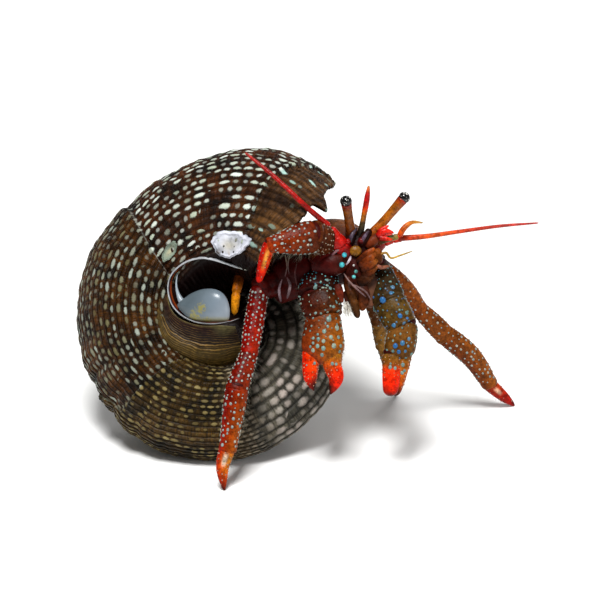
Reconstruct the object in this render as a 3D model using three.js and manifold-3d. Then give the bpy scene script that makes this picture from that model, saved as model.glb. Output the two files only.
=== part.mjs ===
// A hermit crab in a top shell, life size, as one still museum model.
// Millimetres, +Z up. The floor is z = 0; x and y are centred on the finished model.
// The shell lies on its side with its base and umbilicus turned to -Y, and the crab leaves
// its mouth on the +X side and faces -Y. "right" and "left" are the crab's own sides.
import * as THREE from "three";
import { mergeVertices } from "three/addons/utils/BufferGeometryUtils.js";
import Module from "manifold-3d";

const wasm = await Module();
wasm.setup();

const V = (x, y, z) => new THREE.Vector3(x, y, z);
const radians = THREE.MathUtils.degToRad;

// ---- driving dimensions -------------------------------------------------------------------

const GAP = 0.08; // clearance between neighbouring pieces
const SLIVER = 0.035; // cuts leave slivers, and edges that move the skin less than this are merged
const SIDES = 7; // facets round a limb segment
const FEELER_RADIUS = 0.26; // feelers are no thinner than about half a millimetre

// The shell is a tube whose section grows by the same share with every turn round the axis.
const SHELL = {
  foot: V(-8.1, -3.7, 15.97), // where the axis leaves the base, in the middle of the umbilicus
  axis: V(0.187, 0.6805, -0.7085), // from the base towards the apex
  height: 22.3, // from the base to the apex
  growth: 1.908, // how many times larger the tube is after one turn
  turns: 3.5,
  lipAngle: 57.7, // where the mouth lies round the axis
  centreRadius: 9.95, // the tube's section at the mouth: its centre's distance from the axis,
  centreHeight: 5.7, // its centre's height over the base,
  halfWidth: 5.93, // and its half sizes across and along the axis
  halfHeight: 5.68,
  wall: 0.9,
  lipLead: 11.2, // degrees that the lip runs ahead, on average over the ring,
  lipSlant: 14.3, // how much more than that on the base side,
  lipSlantAt: -104.6, // and where in the ring that is;
  lipTwist: 3, // a second, smaller wave goes twice round the ring
  lipTwistAt: 49.4,
  cavityTurns: 0.55,
  flatSide: 1.0, // how far the spire's side is from round
  sutureLift: 0.4, // how far the whorl climbs towards the suture, as a share of its half height
};

// How far old growth swells the outer side in and out, every 15 degrees back from just past the lip.
const SWELL_STEP = 15;
const SWELL = [
  -1.1, -0.1, 0.4, 0.2, 0, 0.1, 0.2, 0.45, 0.3, 0.2, 0.2, 0.1, 0.25, 0.2, 0, 0, 0.1, 0, 0, 0.2, 0.2, 0,
];

// Limb joints, each list from the body outwards.
const LIMBS = {
  claw_right: [V(2.6, 1.7, 16.5), V(1.9, 1.0, 16.2), V(1.5, -1.9, 14.9), V(2.1, -3.3, 13.5)],
  claw_left: [V(6.0, 1.4, 16.4), V(6.7, 0.8, 16.1), V(7.6, -2.0, 14.3), V(8.7, -3.3, 12.7)],
  leg2_right: [V(0.0, 2.2, 15.3), V(-3.4, -0.5, 15.0), V(-4.3, -4.2, 10.6), V(-5.3, -6.1, 8.3),
    V(-6.1, -7.8, 3.4), V(-6.4, -8.7, -0.06)],
  leg2_left: [V(5.6, 2.2, 16.4), V(6.6, 2.3, 15.9), V(10.4, 4.1, 10.8), V(12.6, 5.0, 8.0),
    V(16.7, 6.5, 2.45), V(19.0, 7.2, -0.06)],
  leg3_right: [V(1.8, 2.6, 16.9), V(2.6, 0.3, 18.9), V(1.1, -1.3, 20.2), V(-2.6, -2.7, 20.0),
    V(-3.5, -3.2, 16.8)],
  leg3_left: [V(4.8, 3.0, 15.3), V(5.7, 3.3, 14.2), V(6.8, 4.9, 9.3), V(7.3, 5.9, 6.6), V(8.0, 7.7, 3.2),
    V(8.5, 9.1, -0.06)],
};

// ---- making closed shapes -----------------------------------------------------------------

// A closed skin over rings of points, the same number in each, with a fan over both ends.
function skin(rings) {
  const sides = rings[0].length;
  const points = rings.flat();
  const middle = (ring) => ring.reduce((sum, p) => sum.add(p), V(0, 0, 0)).divideScalar(sides);
  const first = points.push(middle(rings[0])) - 1;
  const last = points.push(middle(rings.at(-1))) - 1;
  const index = [];
  for (let k = 0; k < sides; k++) {
    const next = (k + 1) % sides;
    for (let i = 0; i + 1 < rings.length; i++) {
      const [a, b] = [i * sides + k, i * sides + next];
      index.push(a, b, b + sides, a, b + sides, a + sides);
    }
    const end = (rings.length - 1) * sides;
    index.push(first, next, k, last, end + k, end + next);
  }
  const geometry = new THREE.BufferGeometry().setFromPoints(points);
  geometry.setIndex(index);
  return geometry;
}

// A three.js geometry as a manifold solid, turned the right way out.
function solid(geometry) {
  const bare = new THREE.BufferGeometry().setAttribute("position", geometry.getAttribute("position"));
  bare.setIndex(geometry.index);
  const merged = mergeVertices(bare, 1e-5);
  const all = merged.index.array;
  const kept = [];
  for (let i = 0; i < all.length; i += 3) {
    const [a, b, c] = [all[i], all[i + 1], all[i + 2]];
    if (a !== b && b !== c && c !== a) kept.push(a, b, c);
  }
  const vertProperties = merged.attributes.position.array;
  const make = (triVerts) => new wasm.Manifold(new wasm.Mesh({ numProp: 3, vertProperties, triVerts }));
  const made = make(new Uint32Array(kept));
  if (made.volume() >= 0) return made;
  for (let i = 0; i < kept.length; i += 3) [kept[i + 1], kept[i + 2]] = [kept[i + 2], kept[i + 1]];
  return make(new Uint32Array(kept));
}

const union = (parts) => parts.reduce((sum, part) => sum.add(part));
const largest = (made) => made.decompose().sort((a, b) => b.volume() - a.volume())[0];

// A round-ended rod through a list of points. girths are its half widths at even steps along it,
// flat is its thickness as a share of its width, thin points across its thin side, and blunt is
// the width of its ends as a share of the girth there.
const ROD = { flat: 1, thin: V(0, 1, 0), grow: 0, sides: SIDES, steps: 6, blunt: 0.6 };

function rod(points, girths, options) {
  const { flat, thin, grow, sides, steps, blunt } = { ...ROD, ...options };
  const path = points.length > 2 ? new THREE.CatmullRomCurve3(points) : new THREE.LineCurve3(...points);
  const girthAt = (t) => {
    const place = t * (girths.length - 1);
    const i = Math.min(Math.floor(place), girths.length - 2);
    return THREE.MathUtils.lerp(girths[i], girths[i + 1], place - i);
  };
  const ends = 0.05;
  const stations = [0];
  for (let i = 0; i <= steps; i++) stations.push(ends + (1 - 2 * ends) * (i / steps));
  stations.push(1);
  return skin(stations.map((t) => {
    const centre = path.getPointAt(t);
    const along = path.getTangentAt(t);
    const wide = V(0, 0, 0).crossVectors(along, thin).normalize();
    const deep = V(0, 0, 0).crossVectors(wide, along).normalize();
    const close = t === 0 || t === 1;
    const half = girthAt(t) * (close ? blunt : 1) + grow;
    if (close) centre.addScaledVector(along, t === 0 ? -grow : grow);
    return Array.from({ length: sides }, (_, k) => {
      const turn = (k / sides) * 2 * Math.PI;
      return centre.clone()
        .addScaledVector(wide, half * Math.cos(turn))
        .addScaledVector(deep, (half - grow) * flat * Math.sin(turn) + grow * Math.sin(turn));
    });
  }));
}

// ---- the model's pieces -------------------------------------------------------------------

const model = new THREE.Group();
const made = new Map(); // name -> { solid, grown }

const material = (colour, roughness, metalness = 0) =>
  new THREE.MeshStandardMaterial({ color: colour, roughness, metalness });
const SHELL_BROWN = material(0x2e2013, 0.35);
const PORCELAIN = material(0xc9d3e2, 0.2);
const DARK_RED = material(0x4a0f08, 0.4);
const SHIELD_BROWN = material(0x5a2810, 0.4);
const CLAW_BROWN = material(0x7a3410, 0.4);
const LEG_RED = material(0xa02c0c, 0.4);
const CLAW_TIP_RED = material(0xe62408, 0.35);
const STALK_OCHRE = material(0xa86410, 0.35);
const EYE_BLACK = material(0x0a0908, 0.1);
const FEELER_RED = material(0xd21804, 0.35);
const ABDOMEN_PINK = material(0x8c4a38, 0.5);

// Adds a piece. shape(grow) gives its solid, made larger by grow on every side; the grown one
// cuts the pieces that are named after it. Everything is trimmed level with the floor.
const floorBox = new THREE.BoxGeometry(90, 90, 10);
floorBox.translate(0, 0, -5);
const underFloor = solid(floorBox);

function add(name, paint, place, shape, cutBy = []) {
  let body = shape(0);
  for (const other of cutBy) body = body.subtract(made.get(other).grown);
  body = largest(body.subtract(underFloor)).simplify(SLIVER);
  made.set(name, { solid: body, grown: shape(GAP) });
  const { vertProperties, triVerts, numProp } = body.getMesh();
  const points = [];
  for (let i = 0; i < vertProperties.length; i += numProp) {
    points.push(V(vertProperties[i], vertProperties[i + 1], vertProperties[i + 2]).sub(place));
  }
  const geometry = new THREE.BufferGeometry().setFromPoints(points);
  geometry.setIndex(new THREE.BufferAttribute(new Uint32Array(triVerts), 1));
  geometry.computeVertexNormals();
  const mesh = new THREE.Mesh(geometry, paint);
  mesh.name = name;
  mesh.position.copy(place);
  model.add(mesh);
}

// ---- shell --------------------------------------------------------------------------------

const shellAxis = SHELL.axis.clone().normalize();
const shellUp = V(1, 0, 0).cross(shellAxis).normalize();
const shellSide = shellAxis.clone().cross(shellUp);

// A point given by its angle round the axis, its distance from it and its height over the base.
function onShell(angle, radius, height) {
  return SHELL.foot.clone()
    .addScaledVector(shellSide, radius * Math.cos(angle))
    .addScaledVector(shellUp, radius * Math.sin(angle))
    .addScaledVector(shellAxis, height);
}

// The tube's section is an ellipse, squarer next to the umbilicus, flatter on the side of the spire
// and drawn up to the suture.
// turn is the angle round the section: 0 outwards, 90 towards the apex, 270 towards the base.
function section(turn, share) {
  const [c, s] = [Math.cos(turn), Math.sin(turn)];
  const inward = Math.max(0, -c);
  const flatter = SHELL.flatSide * Math.max(0, c) * Math.max(0, s);
  const power = 2 / (2 + inward - flatter);
  const lift = 1 + SHELL.sutureLift * inward * Math.max(0, s);
  return [
    SHELL.centreRadius + share.across * Math.sign(c) * Math.abs(c) ** power,
    SHELL.centreHeight + share.along * Math.sign(s) * Math.abs(s) ** power * lift,
  ];
}

function swell(at) {
  const steps = 1 - THREE.MathUtils.radToDeg(at) / SWELL_STEP;
  const place = THREE.MathUtils.clamp(steps, 0, SWELL.length - 1.001);
  const i = Math.floor(place);
  return THREE.MathUtils.lerp(SWELL[i], SWELL[i + 1], place - i);
}

// One ring of the tube. coil is the angle before the mouth, and lead(turn) moves each point on.
function shellRing(coil, inset, sides, lead) {
  const share = { across: SHELL.halfWidth - inset, along: SHELL.halfHeight - inset };
  return Array.from({ length: sides }, (_, k) => {
    const turn = (k / sides) * 2 * Math.PI;
    const at = coil + lead(turn);
    const size = SHELL.growth ** (at / (2 * Math.PI));
    const [radius, height] = section(turn, share);
    const out = swell(at) * Math.max(0, Math.cos(turn));
    const up = SHELL.height - size * (SHELL.height - height);
    return onShell(radians(SHELL.lipAngle) - at, size * radius + out, up);
  });
}

// How far the slanted lip runs ahead at an angle round the ring, in degrees.
function lead(turn) {
  const slant = SHELL.lipSlant * Math.cos(turn - radians(SHELL.lipSlantAt));
  return SHELL.lipLead + slant + SHELL.lipTwist * Math.cos(2 * turn - radians(SHELL.lipTwistAt));
}

// The tube between two angles, measured from the mouth; the last ring is slanted at the lip.
function shellTube(from, to, inset, sides, step) {
  const count = Math.max(2, Math.round((to - from) / radians(step)));
  const rings = [];
  for (let i = 0; i <= count; i++) {
    const coil = from + ((to - from) * i) / count;
    const fade = Math.max(0, 1 + coil / Math.PI); // the slant dies out over the last half turn
    rings.push(shellRing(coil, inset, sides, (turn) => fade * radians(lead(turn))));
  }
  return solid(skin(rings));
}

// The lip is broken, and one shard of it still stands out as a small spike.
const SHARD = { root: [13, -57, -67], tip: [26, -66, -69] }; // degrees past the mouth, and turns

function shellShard(grow) {
  const corner = (at, turn, inset) => {
    const share = { across: SHELL.halfWidth - inset, along: SHELL.halfHeight - inset };
    const [radius, height] = section(radians(turn), share);
    const size = SHELL.growth ** (at / 360);
    const out = swell(radians(at)) * Math.cos(radians(turn));
    const up = SHELL.height - size * (SHELL.height - height);
    return onShell(radians(SHELL.lipAngle - at), size * radius + out, up);
  };
  const ring = ([at, first, last], outer, inner) =>
    [corner(at, first, outer), corner(at, last, outer), corner(at, last, inner), corner(at, first, inner)];
  return solid(skin([ring(SHARD.root, 0.1 - grow, 0.7 + grow), ring(SHARD.tip, 0.15 - grow, 0.5 + grow)]));
}

function shellSolid(grow) {
  const turn = 2 * Math.PI;
  const parts = [];
  for (let half = 0; half < 2 * SHELL.turns - 0.01; half++) {
    const to = -half * Math.PI;
    const from = Math.max(to - Math.PI, -SHELL.turns * turn);
    parts.push(shellTube(from, to || grow * 0.07, -grow, 16, half < 2 ? 15 : 22.5));
  }
  // The umbilicus ends in a solid core, and the first whorl in a round tip.
  const holeSlope = (SHELL.centreRadius - SHELL.halfWidth) / (SHELL.height - SHELL.centreHeight);
  const holeRadius = (height) => holeSlope * (SHELL.height - height) + 0.3;
  const coreFoot = 9;
  const coreTop = SHELL.height - 1.2;
  const core = new THREE.LatheGeometry([
    new THREE.Vector2(0, coreFoot),
    new THREE.Vector2(holeRadius(coreFoot), coreFoot),
    new THREE.Vector2(holeRadius(coreTop), coreTop),
    new THREE.Vector2(0, coreTop + 0.3),
  ], 16);
  core.applyQuaternion(new THREE.Quaternion().setFromUnitVectors(V(0, 1, 0), shellAxis));
  core.translate(...SHELL.foot);
  parts.push(solid(core));
  const tipSize = SHELL.growth ** -SHELL.turns;
  const tip = new THREE.SphereGeometry(tipSize * SHELL.halfWidth + 0.1 + grow, 10, 8);
  const tipHeight = SHELL.height - tipSize * (SHELL.height - SHELL.centreHeight);
  const tipAngle = radians(SHELL.lipAngle) + SHELL.turns * turn;
  tip.translate(...onShell(tipAngle, tipSize * SHELL.centreRadius, tipHeight));
  parts.push(solid(tip));
  const whole = union(parts);
  const back = -SHELL.cavityTurns * turn;
  const inner = SHELL.wall + grow;
  return whole
    .subtract(shellTube(-Math.PI, radians(8), inner, 10, 22.5))
    .subtract(shellTube(back, -Math.PI, inner, 10, 22.5))
    .add(shellShard(grow));
}
add("shell", SHELL_BROWN, SHELL.foot, shellSolid);

// A point in the tube: how far back from the mouth, in degrees, and where in the section.
function inTube(backDegrees, across = 0, along = 0) {
  const at = -radians(backDegrees);
  const size = SHELL.growth ** (at / (2 * Math.PI));
  const up = SHELL.height - size * (SHELL.height - SHELL.centreHeight - along);
  return onShell(radians(SHELL.lipAngle) - at, size * (SHELL.centreRadius + across), up);
}

// The dark pillar that half fills the umbilicus, and the porcelain lobe that curls over it from
// the inner lip.
const PILLAR = [V(-10.4, -0.6, 12.2), V(-9.3, -0.8, 11.0), V(-7.6, -0.8, 10.7), V(-5.9, 0.4, 10.6)];
add("shell_pillar", SHELL_BROWN, PILLAR[1],
  (grow) => solid(rod(PILLAR, [1.1, 1.8, 1.8, 0.8], { grow, steps: 4, sides: 10 })), ["shell"]);
const LOBE = [
  V(-10.6, 1.8, 15.3), V(-10.5, 1.1, 14.6), V(-10.2, 0.5, 13.8), V(-9.5, 0.1, 13.3), V(-8.4, 0, 13.2),
  V(-7.3, 0, 13.2), V(-6.2, 0.1, 13.2),
];
const LOBE_GIRTHS = [0.25, 0.3, 0.45, 0.85, 1.3, 1.4, 1.2];
add("shell_inner_lip", PORCELAIN, LOBE[2],
  (grow) => solid(rod(LOBE, LOBE_GIRTHS, { grow, steps: 6, sides: 9, blunt: 0.5 })),
  ["shell", "shell_pillar"]);

// ---- body ---------------------------------------------------------------------------------

const ABDOMEN = [0, 25, 50, 80, 110, 140, 165];
const abdomenPoints = ABDOMEN.map((back) => inTube(back));
const abdomenOptions = { thin: shellAxis, sides: 12, steps: 3, blunt: 0.8 };
const abdomen = (points, girths) => (grow) => solid(rod(points, girths, { ...abdomenOptions, grow }));
add("abdomen_front", ABDOMEN_PINK, abdomenPoints[0],
  abdomen(abdomenPoints.slice(0, 4), [3.4, 3.7, 3.6, 3.3]), ["shell"]);
add("abdomen_rear", ABDOMEN_PINK, abdomenPoints[3],
  abdomen(abdomenPoints.slice(3), [3.2, 2.8, 2.2, 1.2]), ["shell", "abdomen_front"]);

const SHIELD = [
  V(5.1, -0.1, 18.0), V(4.6, 1.0, 18.2), V(3.9, 2.6, 18.0), V(3.1, 4.4, 17.8), V(2.2, 6.0, 17.5),
];
const SHIELD_GIRTHS = [0.9, 1.75, 2.15, 2.2, 1.7];
const DORSAL = V(0.05, 0.3, 0.95);
add("shield", SHIELD_BROWN, SHIELD[1],
  (grow) => solid(rod(SHIELD, SHIELD_GIRTHS, { flat: 0.62, thin: DORSAL, grow, steps: 5, sides: 12 })),
  ["shell", "abdomen_front"]);
const THORAX = [V(4.3, 0.9, 16.3), V(3.2, 2.4, 16.0), V(1.6, 4.2, 15.8), V(-0.8, 6.0, 15.5)];
const THORAX_GIRTHS = [1.7, 2.3, 2.9, 3.1];
add("thorax", DARK_RED, THORAX[1],
  (grow) => solid(rod(THORAX, THORAX_GIRTHS, { flat: 0.85, thin: DORSAL, grow, steps: 4, sides: 10 })),
  ["shell", "abdomen_front", "shield"]);

// ---- head ---------------------------------------------------------------------------------

const EYESTALKS = {
  right: { foot: V(4.45, 0.9, 18.7), top: V(3.9, -0.1, 22.4), eye: V(3.85, -0.35, 23.0) },
  left: { foot: V(5.55, 0.8, 18.7), top: V(8.35, 1.65, 21.9), eye: V(8.8, 1.8, 22.4) },
};
for (const [side, { foot, top, eye }] of Object.entries(EYESTALKS)) {
  add(`eye_${side}`, EYE_BLACK, eye, (grow) => {
    const ball = new THREE.SphereGeometry(0.48 + grow, 8, 6);
    ball.translate(...eye);
    return solid(ball);
  });
  add(`eyestalk_${side}`, STALK_OCHRE, foot,
    (grow) => solid(rod([foot, top], [0.6, 0.48, 0.42, 0.43], { grow, steps: 4, blunt: 0.9 })),
    [`eye_${side}`, "shield", ...(side === "left" ? ["eyestalk_right"] : [])]);
}

const FEELERS = {
  antennule_right: [V(5.0, 0.6, 19.3), V(5.2, 0.7, 20.1), V(5.4, 0.9, 21.2), V(5.6, 1.3, 22.2),
    V(5.8, 1.8, 23.5)],
  antennule_left_stem: [V(6.0, 0.5, 18.6), V(7.1, 0.4, 19.1), V(8.3, 0.6, 19.35)],
  antennule_left_hook: [V(8.4, 0.6, 19.4), V(8.7, 0.8, 19.9), V(9.1, 1.0, 20.25), V(9.6, 1.2, 20.4),
    V(10.4, 1.3, 20.3)],
  antenna_right_whip: [V(2.5, -0.3, 20.65), V(0.4, -0.9, 22.85), V(-2.1, 0.4, 24.85), V(-4.6, 1.8, 26.5)],
  antenna_left_whip: [V(8.9, 1.5, 18.85), V(10.6, 1.5, 18.95), V(13.6, 2.2, 19.1), V(17.0, 3.1, 19.2),
    V(20.4, 4.0, 19.1)],
};
const ANTENNA_STEMS = {
  right: [V(4.1, 0.1, 17.9), V(3.4, -0.2, 18.9), V(2.6, -0.3, 20.55)],
  left: [V(6.2, 1.3, 17.9), V(7.1, 1.5, 18.6), V(8.7, 1.5, 18.8)],
};
for (const side of ["right", "left"]) {
  add(`antenna_${side}_stem`, FEELER_RED, ANTENNA_STEMS[side][0],
    (grow) => solid(rod(ANTENNA_STEMS[side], [0.75, 0.7, 0.35], { grow, steps: 4 })),
    ["shield", "thorax", `eyestalk_${side}`]);
}
const FEELER_GIRTHS = [FEELER_RADIUS + 0.04, FEELER_RADIUS];
const feeler = (name, cutBy) =>
  add(name, FEELER_RED, FEELERS[name][0],
    (grow) => solid(rod(FEELERS[name], FEELER_GIRTHS, { steps: 5, sides: 5, blunt: 0.8, grow })), cutBy);
feeler("antenna_right_whip", ["antenna_right_stem", "shell"]);
feeler("antenna_left_whip", ["antenna_left_stem"]);
feeler("antennule_right", ["shield", "eyestalk_right", "eyestalk_left"]);
feeler("antennule_left_stem", ["shield", "eyestalk_left", "antenna_left_stem", "antenna_left_whip"]);
feeler("antennule_left_hook", ["antennule_left_stem", "antenna_left_whip", "antenna_left_stem"]);

// ---- limbs --------------------------------------------------------------------------------

const TOWARDS_VIEWER = V(0.1, 0.85, -0.3);

// A chain of segments through a limb's joints: each is named and given its own girths.
function limb(name, pieces, options, cutBy) {
  const joints = LIMBS[name];
  let before = cutBy;
  pieces.forEach(({ part, paint, girths, flat, bow }, i) => {
    const ends = [joints[i], joints[i + 1]];
    if (bow) ends.splice(1, 0, joints[i].clone().lerp(joints[i + 1], 0.5).add(bow));
    const cutters = [...new Set([...before, ...(i ? [`${name}_${pieces[i - 1].part}`] : [])])];
    add(`${name}_${part}`, paint, ends[0],
      (grow) => solid(rod(ends, girths, { ...options, flat, grow, steps: girths.length - 1 })), cutters);
  });
}

const CORE = ["shell", "abdomen_front", "shield", "thorax"];

// The left claw is a little smaller than the right one.
const CLAW_SCALE = { right: 1, left: 0.82 };
for (const [side, scale] of Object.entries(CLAW_SCALE)) {
  const girth = (list) => list.map((g) => g * scale);
  const beside = side === "left" ? ["claw_right_coxa"] : [];
  limb(`claw_${side}`, [
    { part: "coxa", paint: DARK_RED, girths: girth([1.2, 1.4, 1.3]), flat: 1 },
    { part: "merus", paint: CLAW_BROWN, girths: girth([1.2, 1.5, 1.75, 1.65]), flat: 0.85 },
    { part: "carpus", paint: CLAW_BROWN, girths: girth([1.3, 1.75, 1.75, 1.45]), flat: 0.85 },
  ], { thin: TOWARDS_VIEWER, sides: 8 }, [...CORE, `antenna_${side}_stem`, ...beside]);
}

// Each hand is the palm with its fixed finger, and the other finger is hinged on it.
const HANDS = {
  right: {
    knuckle: V(1.9, -5.4, 10.2), palm: [1.35, 1.75, 1.75, 1.35],
    fixed: [V(1.1, -5.0, 10.6), V(1.0, -5.9, 9.2), V(1.15, -6.25, 8.0)],
    hinged: [V(2.75, -5.3, 10.5), V(3.05, -6.0, 9.2), V(2.8, -6.35, 7.8)],
    fixedGirths: [0.75, 0.68, 0.3], hingedGirths: [0.6, 0.66, 0.3],
  },
  left: {
    knuckle: V(8.2, -4.6, 10.2), palm: [1.15, 1.35, 1.35, 1.1],
    fixed: [V(8.6, -4.2, 10.5), V(8.55, -4.9, 8.9), V(8.15, -5.4, 7.1)],
    hinged: [V(7.9, -4.9, 10.2), V(7.75, -5.6, 8.8), V(7.7, -6.0, 7.05)],
    fixedGirths: [0.8, 0.72, 0.45], hingedGirths: [0.75, 0.78, 0.5],
  },
};
for (const [side, hand] of Object.entries(HANDS)) {
  const wrist = LIMBS[`claw_${side}`].at(-1);
  const piece = (points, girths, flat, grow) =>
    solid(rod(points, girths, { thin: TOWARDS_VIEWER, sides: 8, steps: 3, flat, grow }));
  add(`claw_${side}_hand`, CLAW_TIP_RED, wrist, (grow) => union([
    piece([wrist, hand.knuckle], hand.palm, 0.72, grow),
    piece(hand.fixed, hand.fixedGirths, 0.85, grow),
  ]), [...CORE, `claw_${side}_carpus`, `claw_${side}_merus`]);
  add(`claw_${side}_finger`, CLAW_TIP_RED, hand.hinged[0],
    (grow) => piece(hand.hinged, hand.hingedGirths, 0.85, grow), [`claw_${side}_hand`]);
}

// Walking legs, each cut back where it passes the claws and the body that are already there.
const LEG_GIRTHS = {
  leg2_right: {
    coxa: [1.4, 1.25, 1.0], merus: [0.8, 0.85, 0.85, 0.72], carpus: [0.75, 0.92, 1.0],
    propodus: [1.05, 0.98, 0.85, 0.76], dactyl: [0.74, 0.64, 0.46, 0.14],
  },
  leg2_left: {
    coxa: [1.2, 1.2, 1.0], merus: [0.85, 0.85, 0.8, 0.7], carpus: [0.75, 0.9, 0.95],
    propodus: [0.95, 0.98, 0.88, 0.72], dactyl: [0.66, 0.6, 0.46, 0.16],
  },
  leg3_right: {
    merus: [1.1, 1.3, 1.2], carpus: [1.1, 1.35, 1.4],
    propodus: [1.4, 1.35, 0.95, 0.6], dactyl: [0.55, 0.55, 0.46, 0.28],
  },
  leg3_left: {
    coxa: [1.2, 1.2, 1.0], merus: [0.85, 0.9, 0.9, 0.75], carpus: [0.75, 0.9, 0.95],
    propodus: [0.92, 0.9, 0.8, 0.66], dactyl: [0.62, 0.55, 0.4, 0.14],
  },
};
// How far the middle of a bent segment lies off the straight line between its joints.
const BOWS = {
  leg2_right: { dactyl: V(-0.3, 0, 0.1) },
  leg2_left: { merus: V(0.3, 0, 0.2), propodus: V(0.35, 0, 0.3) },
};
const NEIGHBOURS = {
  leg2_right: ["claw_right_coxa", "claw_right_merus"],
  leg2_left: ["claw_left_coxa", "claw_left_merus", "antenna_left_stem"],
  leg3_right: ["leg2_right_coxa", "leg2_right_merus", "claw_right_coxa", "claw_right_merus",
    "antenna_right_stem", "antenna_right_whip"],
  leg3_left: ["leg2_left_coxa", "leg2_left_merus", "claw_left_coxa", "claw_left_merus", "claw_right_coxa"],
};
for (const [name, segments] of Object.entries(LEG_GIRTHS)) {
  const pieces = Object.entries(segments).map(([part, girths]) => {
    const [paint, flat] = part === "coxa" ? [DARK_RED, 1] : [LEG_RED, 0.78];
    return { part, paint, girths, flat, bow: BOWS[name]?.[part] };
  });
  limb(name, pieces, { thin: TOWARDS_VIEWER }, [...CORE, ...NEIGHBOURS[name]]);
}

// The small fourth leg that braces the crab against the inner lip, and the mouth's legs.
const FOURTH_LEG = [V(-4.1, 4.3, 15.2), V(-4.9, 3.0, 15.2), V(-5.4, 1.4, 14.0), V(-5.6, 0.2, 12.2)];
add("leg4_right", LEG_RED, FOURTH_LEG[0],
  (grow) => solid(rod(FOURTH_LEG, [0.5, 0.45, 0.42, 0.3], { grow, steps: 4, sides: 6 })),
  ["shell", "shell_inner_lip", "abdomen_front", "thorax", "leg2_right_coxa", "leg2_right_merus"]);

// Its hidden partner and the fifth legs lie along the abdomen inside the shell.
const HIDDEN_LEGS = {
  leg4_left: [V(0.6, 7.6, 14.4), inTube(9, 3.0, 2.6), inTube(24, 3.4, 2.4)],
  leg5_left: [inTube(4, -0.2, 4.4), inTube(14, 0, 4.5), inTube(28, 0.3, 4.5)],
  leg5_right: [inTube(-4, -3.6, -1.6), inTube(8, -4.1, -1.6), inTube(20, -4.2, -1.4)],
};
for (const [name, points] of Object.entries(HIDDEN_LEGS)) {
  add(name, LEG_RED, points[0],
    (grow) => solid(rod(points, [0.4, 0.36, 0.28], { grow, steps: 2, sides: 6 })),
    ["shell", "abdomen_front", "thorax", "shield", "leg3_left_coxa", "leg2_right_coxa", "leg4_right"]);
}

const MOUTH_LEGS = {
  right: [V(4.2, 0.3, 16.6), V(4.1, -1.4, 15.9), V(4.5, -2.4, 14.8), V(4.9, -2.8, 13.3)],
  left: [V(5.0, 0.0, 16.7), V(5.7, -0.7, 17.6), V(6.5, -0.8, 18.5), V(6.7, -1.2, 17.6)],
};
for (const [side, points] of Object.entries(MOUTH_LEGS)) {
  add(`mouth_leg_${side}`, CLAW_BROWN, points[0],
    (grow) => solid(rod(points, [0.5, 0.48, 0.42, 0.3], { grow, steps: 4, sides: 6 })),
    ["shield", "thorax", "antenna_right_stem", "antenna_left_stem", "antennule_left_stem",
      "claw_right_coxa", "claw_right_merus", "claw_right_carpus",
      "claw_left_coxa", "claw_left_merus", "claw_left_carpus",
      ...(side === "left" ? ["mouth_leg_right"] : [])]);
}

// x and y are measured from the middle of the finished model.
model.updateMatrixWorld(true);
const centre = new THREE.Box3().setFromObject(model, true).getCenter(V(0, 0, 0));
model.position.set(-centre.x, -centre.y, 0);

export default model;
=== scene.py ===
# %% [markdown]
# # A hermit crab in a top shell
#
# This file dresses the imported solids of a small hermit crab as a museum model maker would: first
# the shell that the crab carries, then its soft body, then the hard plates of its limbs, and last
# the things that bring it alive, which are its eyes, feelers, spots and hairs. Every shape is a
# formula on a grid of numbers, in millimetres, laid over the place of the solid that it replaces.

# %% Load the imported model
import math

import bpy
import numpy as np
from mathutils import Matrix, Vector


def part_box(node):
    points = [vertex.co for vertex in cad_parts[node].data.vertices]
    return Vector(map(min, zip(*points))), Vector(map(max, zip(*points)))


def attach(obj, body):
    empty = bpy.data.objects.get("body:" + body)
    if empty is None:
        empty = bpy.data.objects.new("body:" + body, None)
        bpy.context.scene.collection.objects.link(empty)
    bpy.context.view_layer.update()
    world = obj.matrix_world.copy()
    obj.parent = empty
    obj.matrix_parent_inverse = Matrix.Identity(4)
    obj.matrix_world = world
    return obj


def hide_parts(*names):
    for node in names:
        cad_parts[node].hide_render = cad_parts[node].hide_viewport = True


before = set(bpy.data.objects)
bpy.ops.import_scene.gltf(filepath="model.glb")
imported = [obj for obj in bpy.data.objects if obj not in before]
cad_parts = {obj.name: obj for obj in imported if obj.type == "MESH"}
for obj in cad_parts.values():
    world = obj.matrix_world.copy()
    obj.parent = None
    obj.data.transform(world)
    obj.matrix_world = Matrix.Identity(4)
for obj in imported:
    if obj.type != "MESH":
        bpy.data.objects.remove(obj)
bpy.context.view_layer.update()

print("solids loaded:", len(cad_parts))

# %% [markdown]
# ## Millimetres and the model's place
#
# The solids are in metres and are centred on the whole model, while the sizes of a small animal are
# easiest to think of in millimetres, from the point where they were first drawn. The right eye is a
# plain ball whose middle is known in both, so it ties the two together.

# %% From drawing millimetres to metres
MM = 0.001
EYE_BALLS = {"right": np.array([3.85, -0.35, 23.0]), "left": np.array([8.8, 1.8, 22.4])}
low, high = (np.array(corner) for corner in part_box("eye_right"))
SHIFT = (low + high) / 2 / MM - EYE_BALLS["right"]


def to_metres(points):
    """Adds the shift between the drawing and the model, then turns millimetres into metres."""
    return (np.asarray(points, float) + SHIFT) * MM


def unit(vectors):
    """Each vector divided by its own length."""
    vectors = np.asarray(vectors, float)
    return vectors / np.maximum(np.linalg.norm(vectors, axis=-1, keepdims=True), 1e-12)


print("shift of the drawing, mm:", SHIFT.round(3))

# %% [markdown]
# ## A form: points, faces and colours together
#
# A piece is often many small closed bodies, such as two hundred hairs. Each body, or each array of
# like bodies, is kept as a form: its points, its four-sided and three-sided faces, a pair of
# numbers for each corner of each face (its UV), and a colour for each point. Forms are joined into
# one mesh at the end, which is much faster than joining objects.

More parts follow.
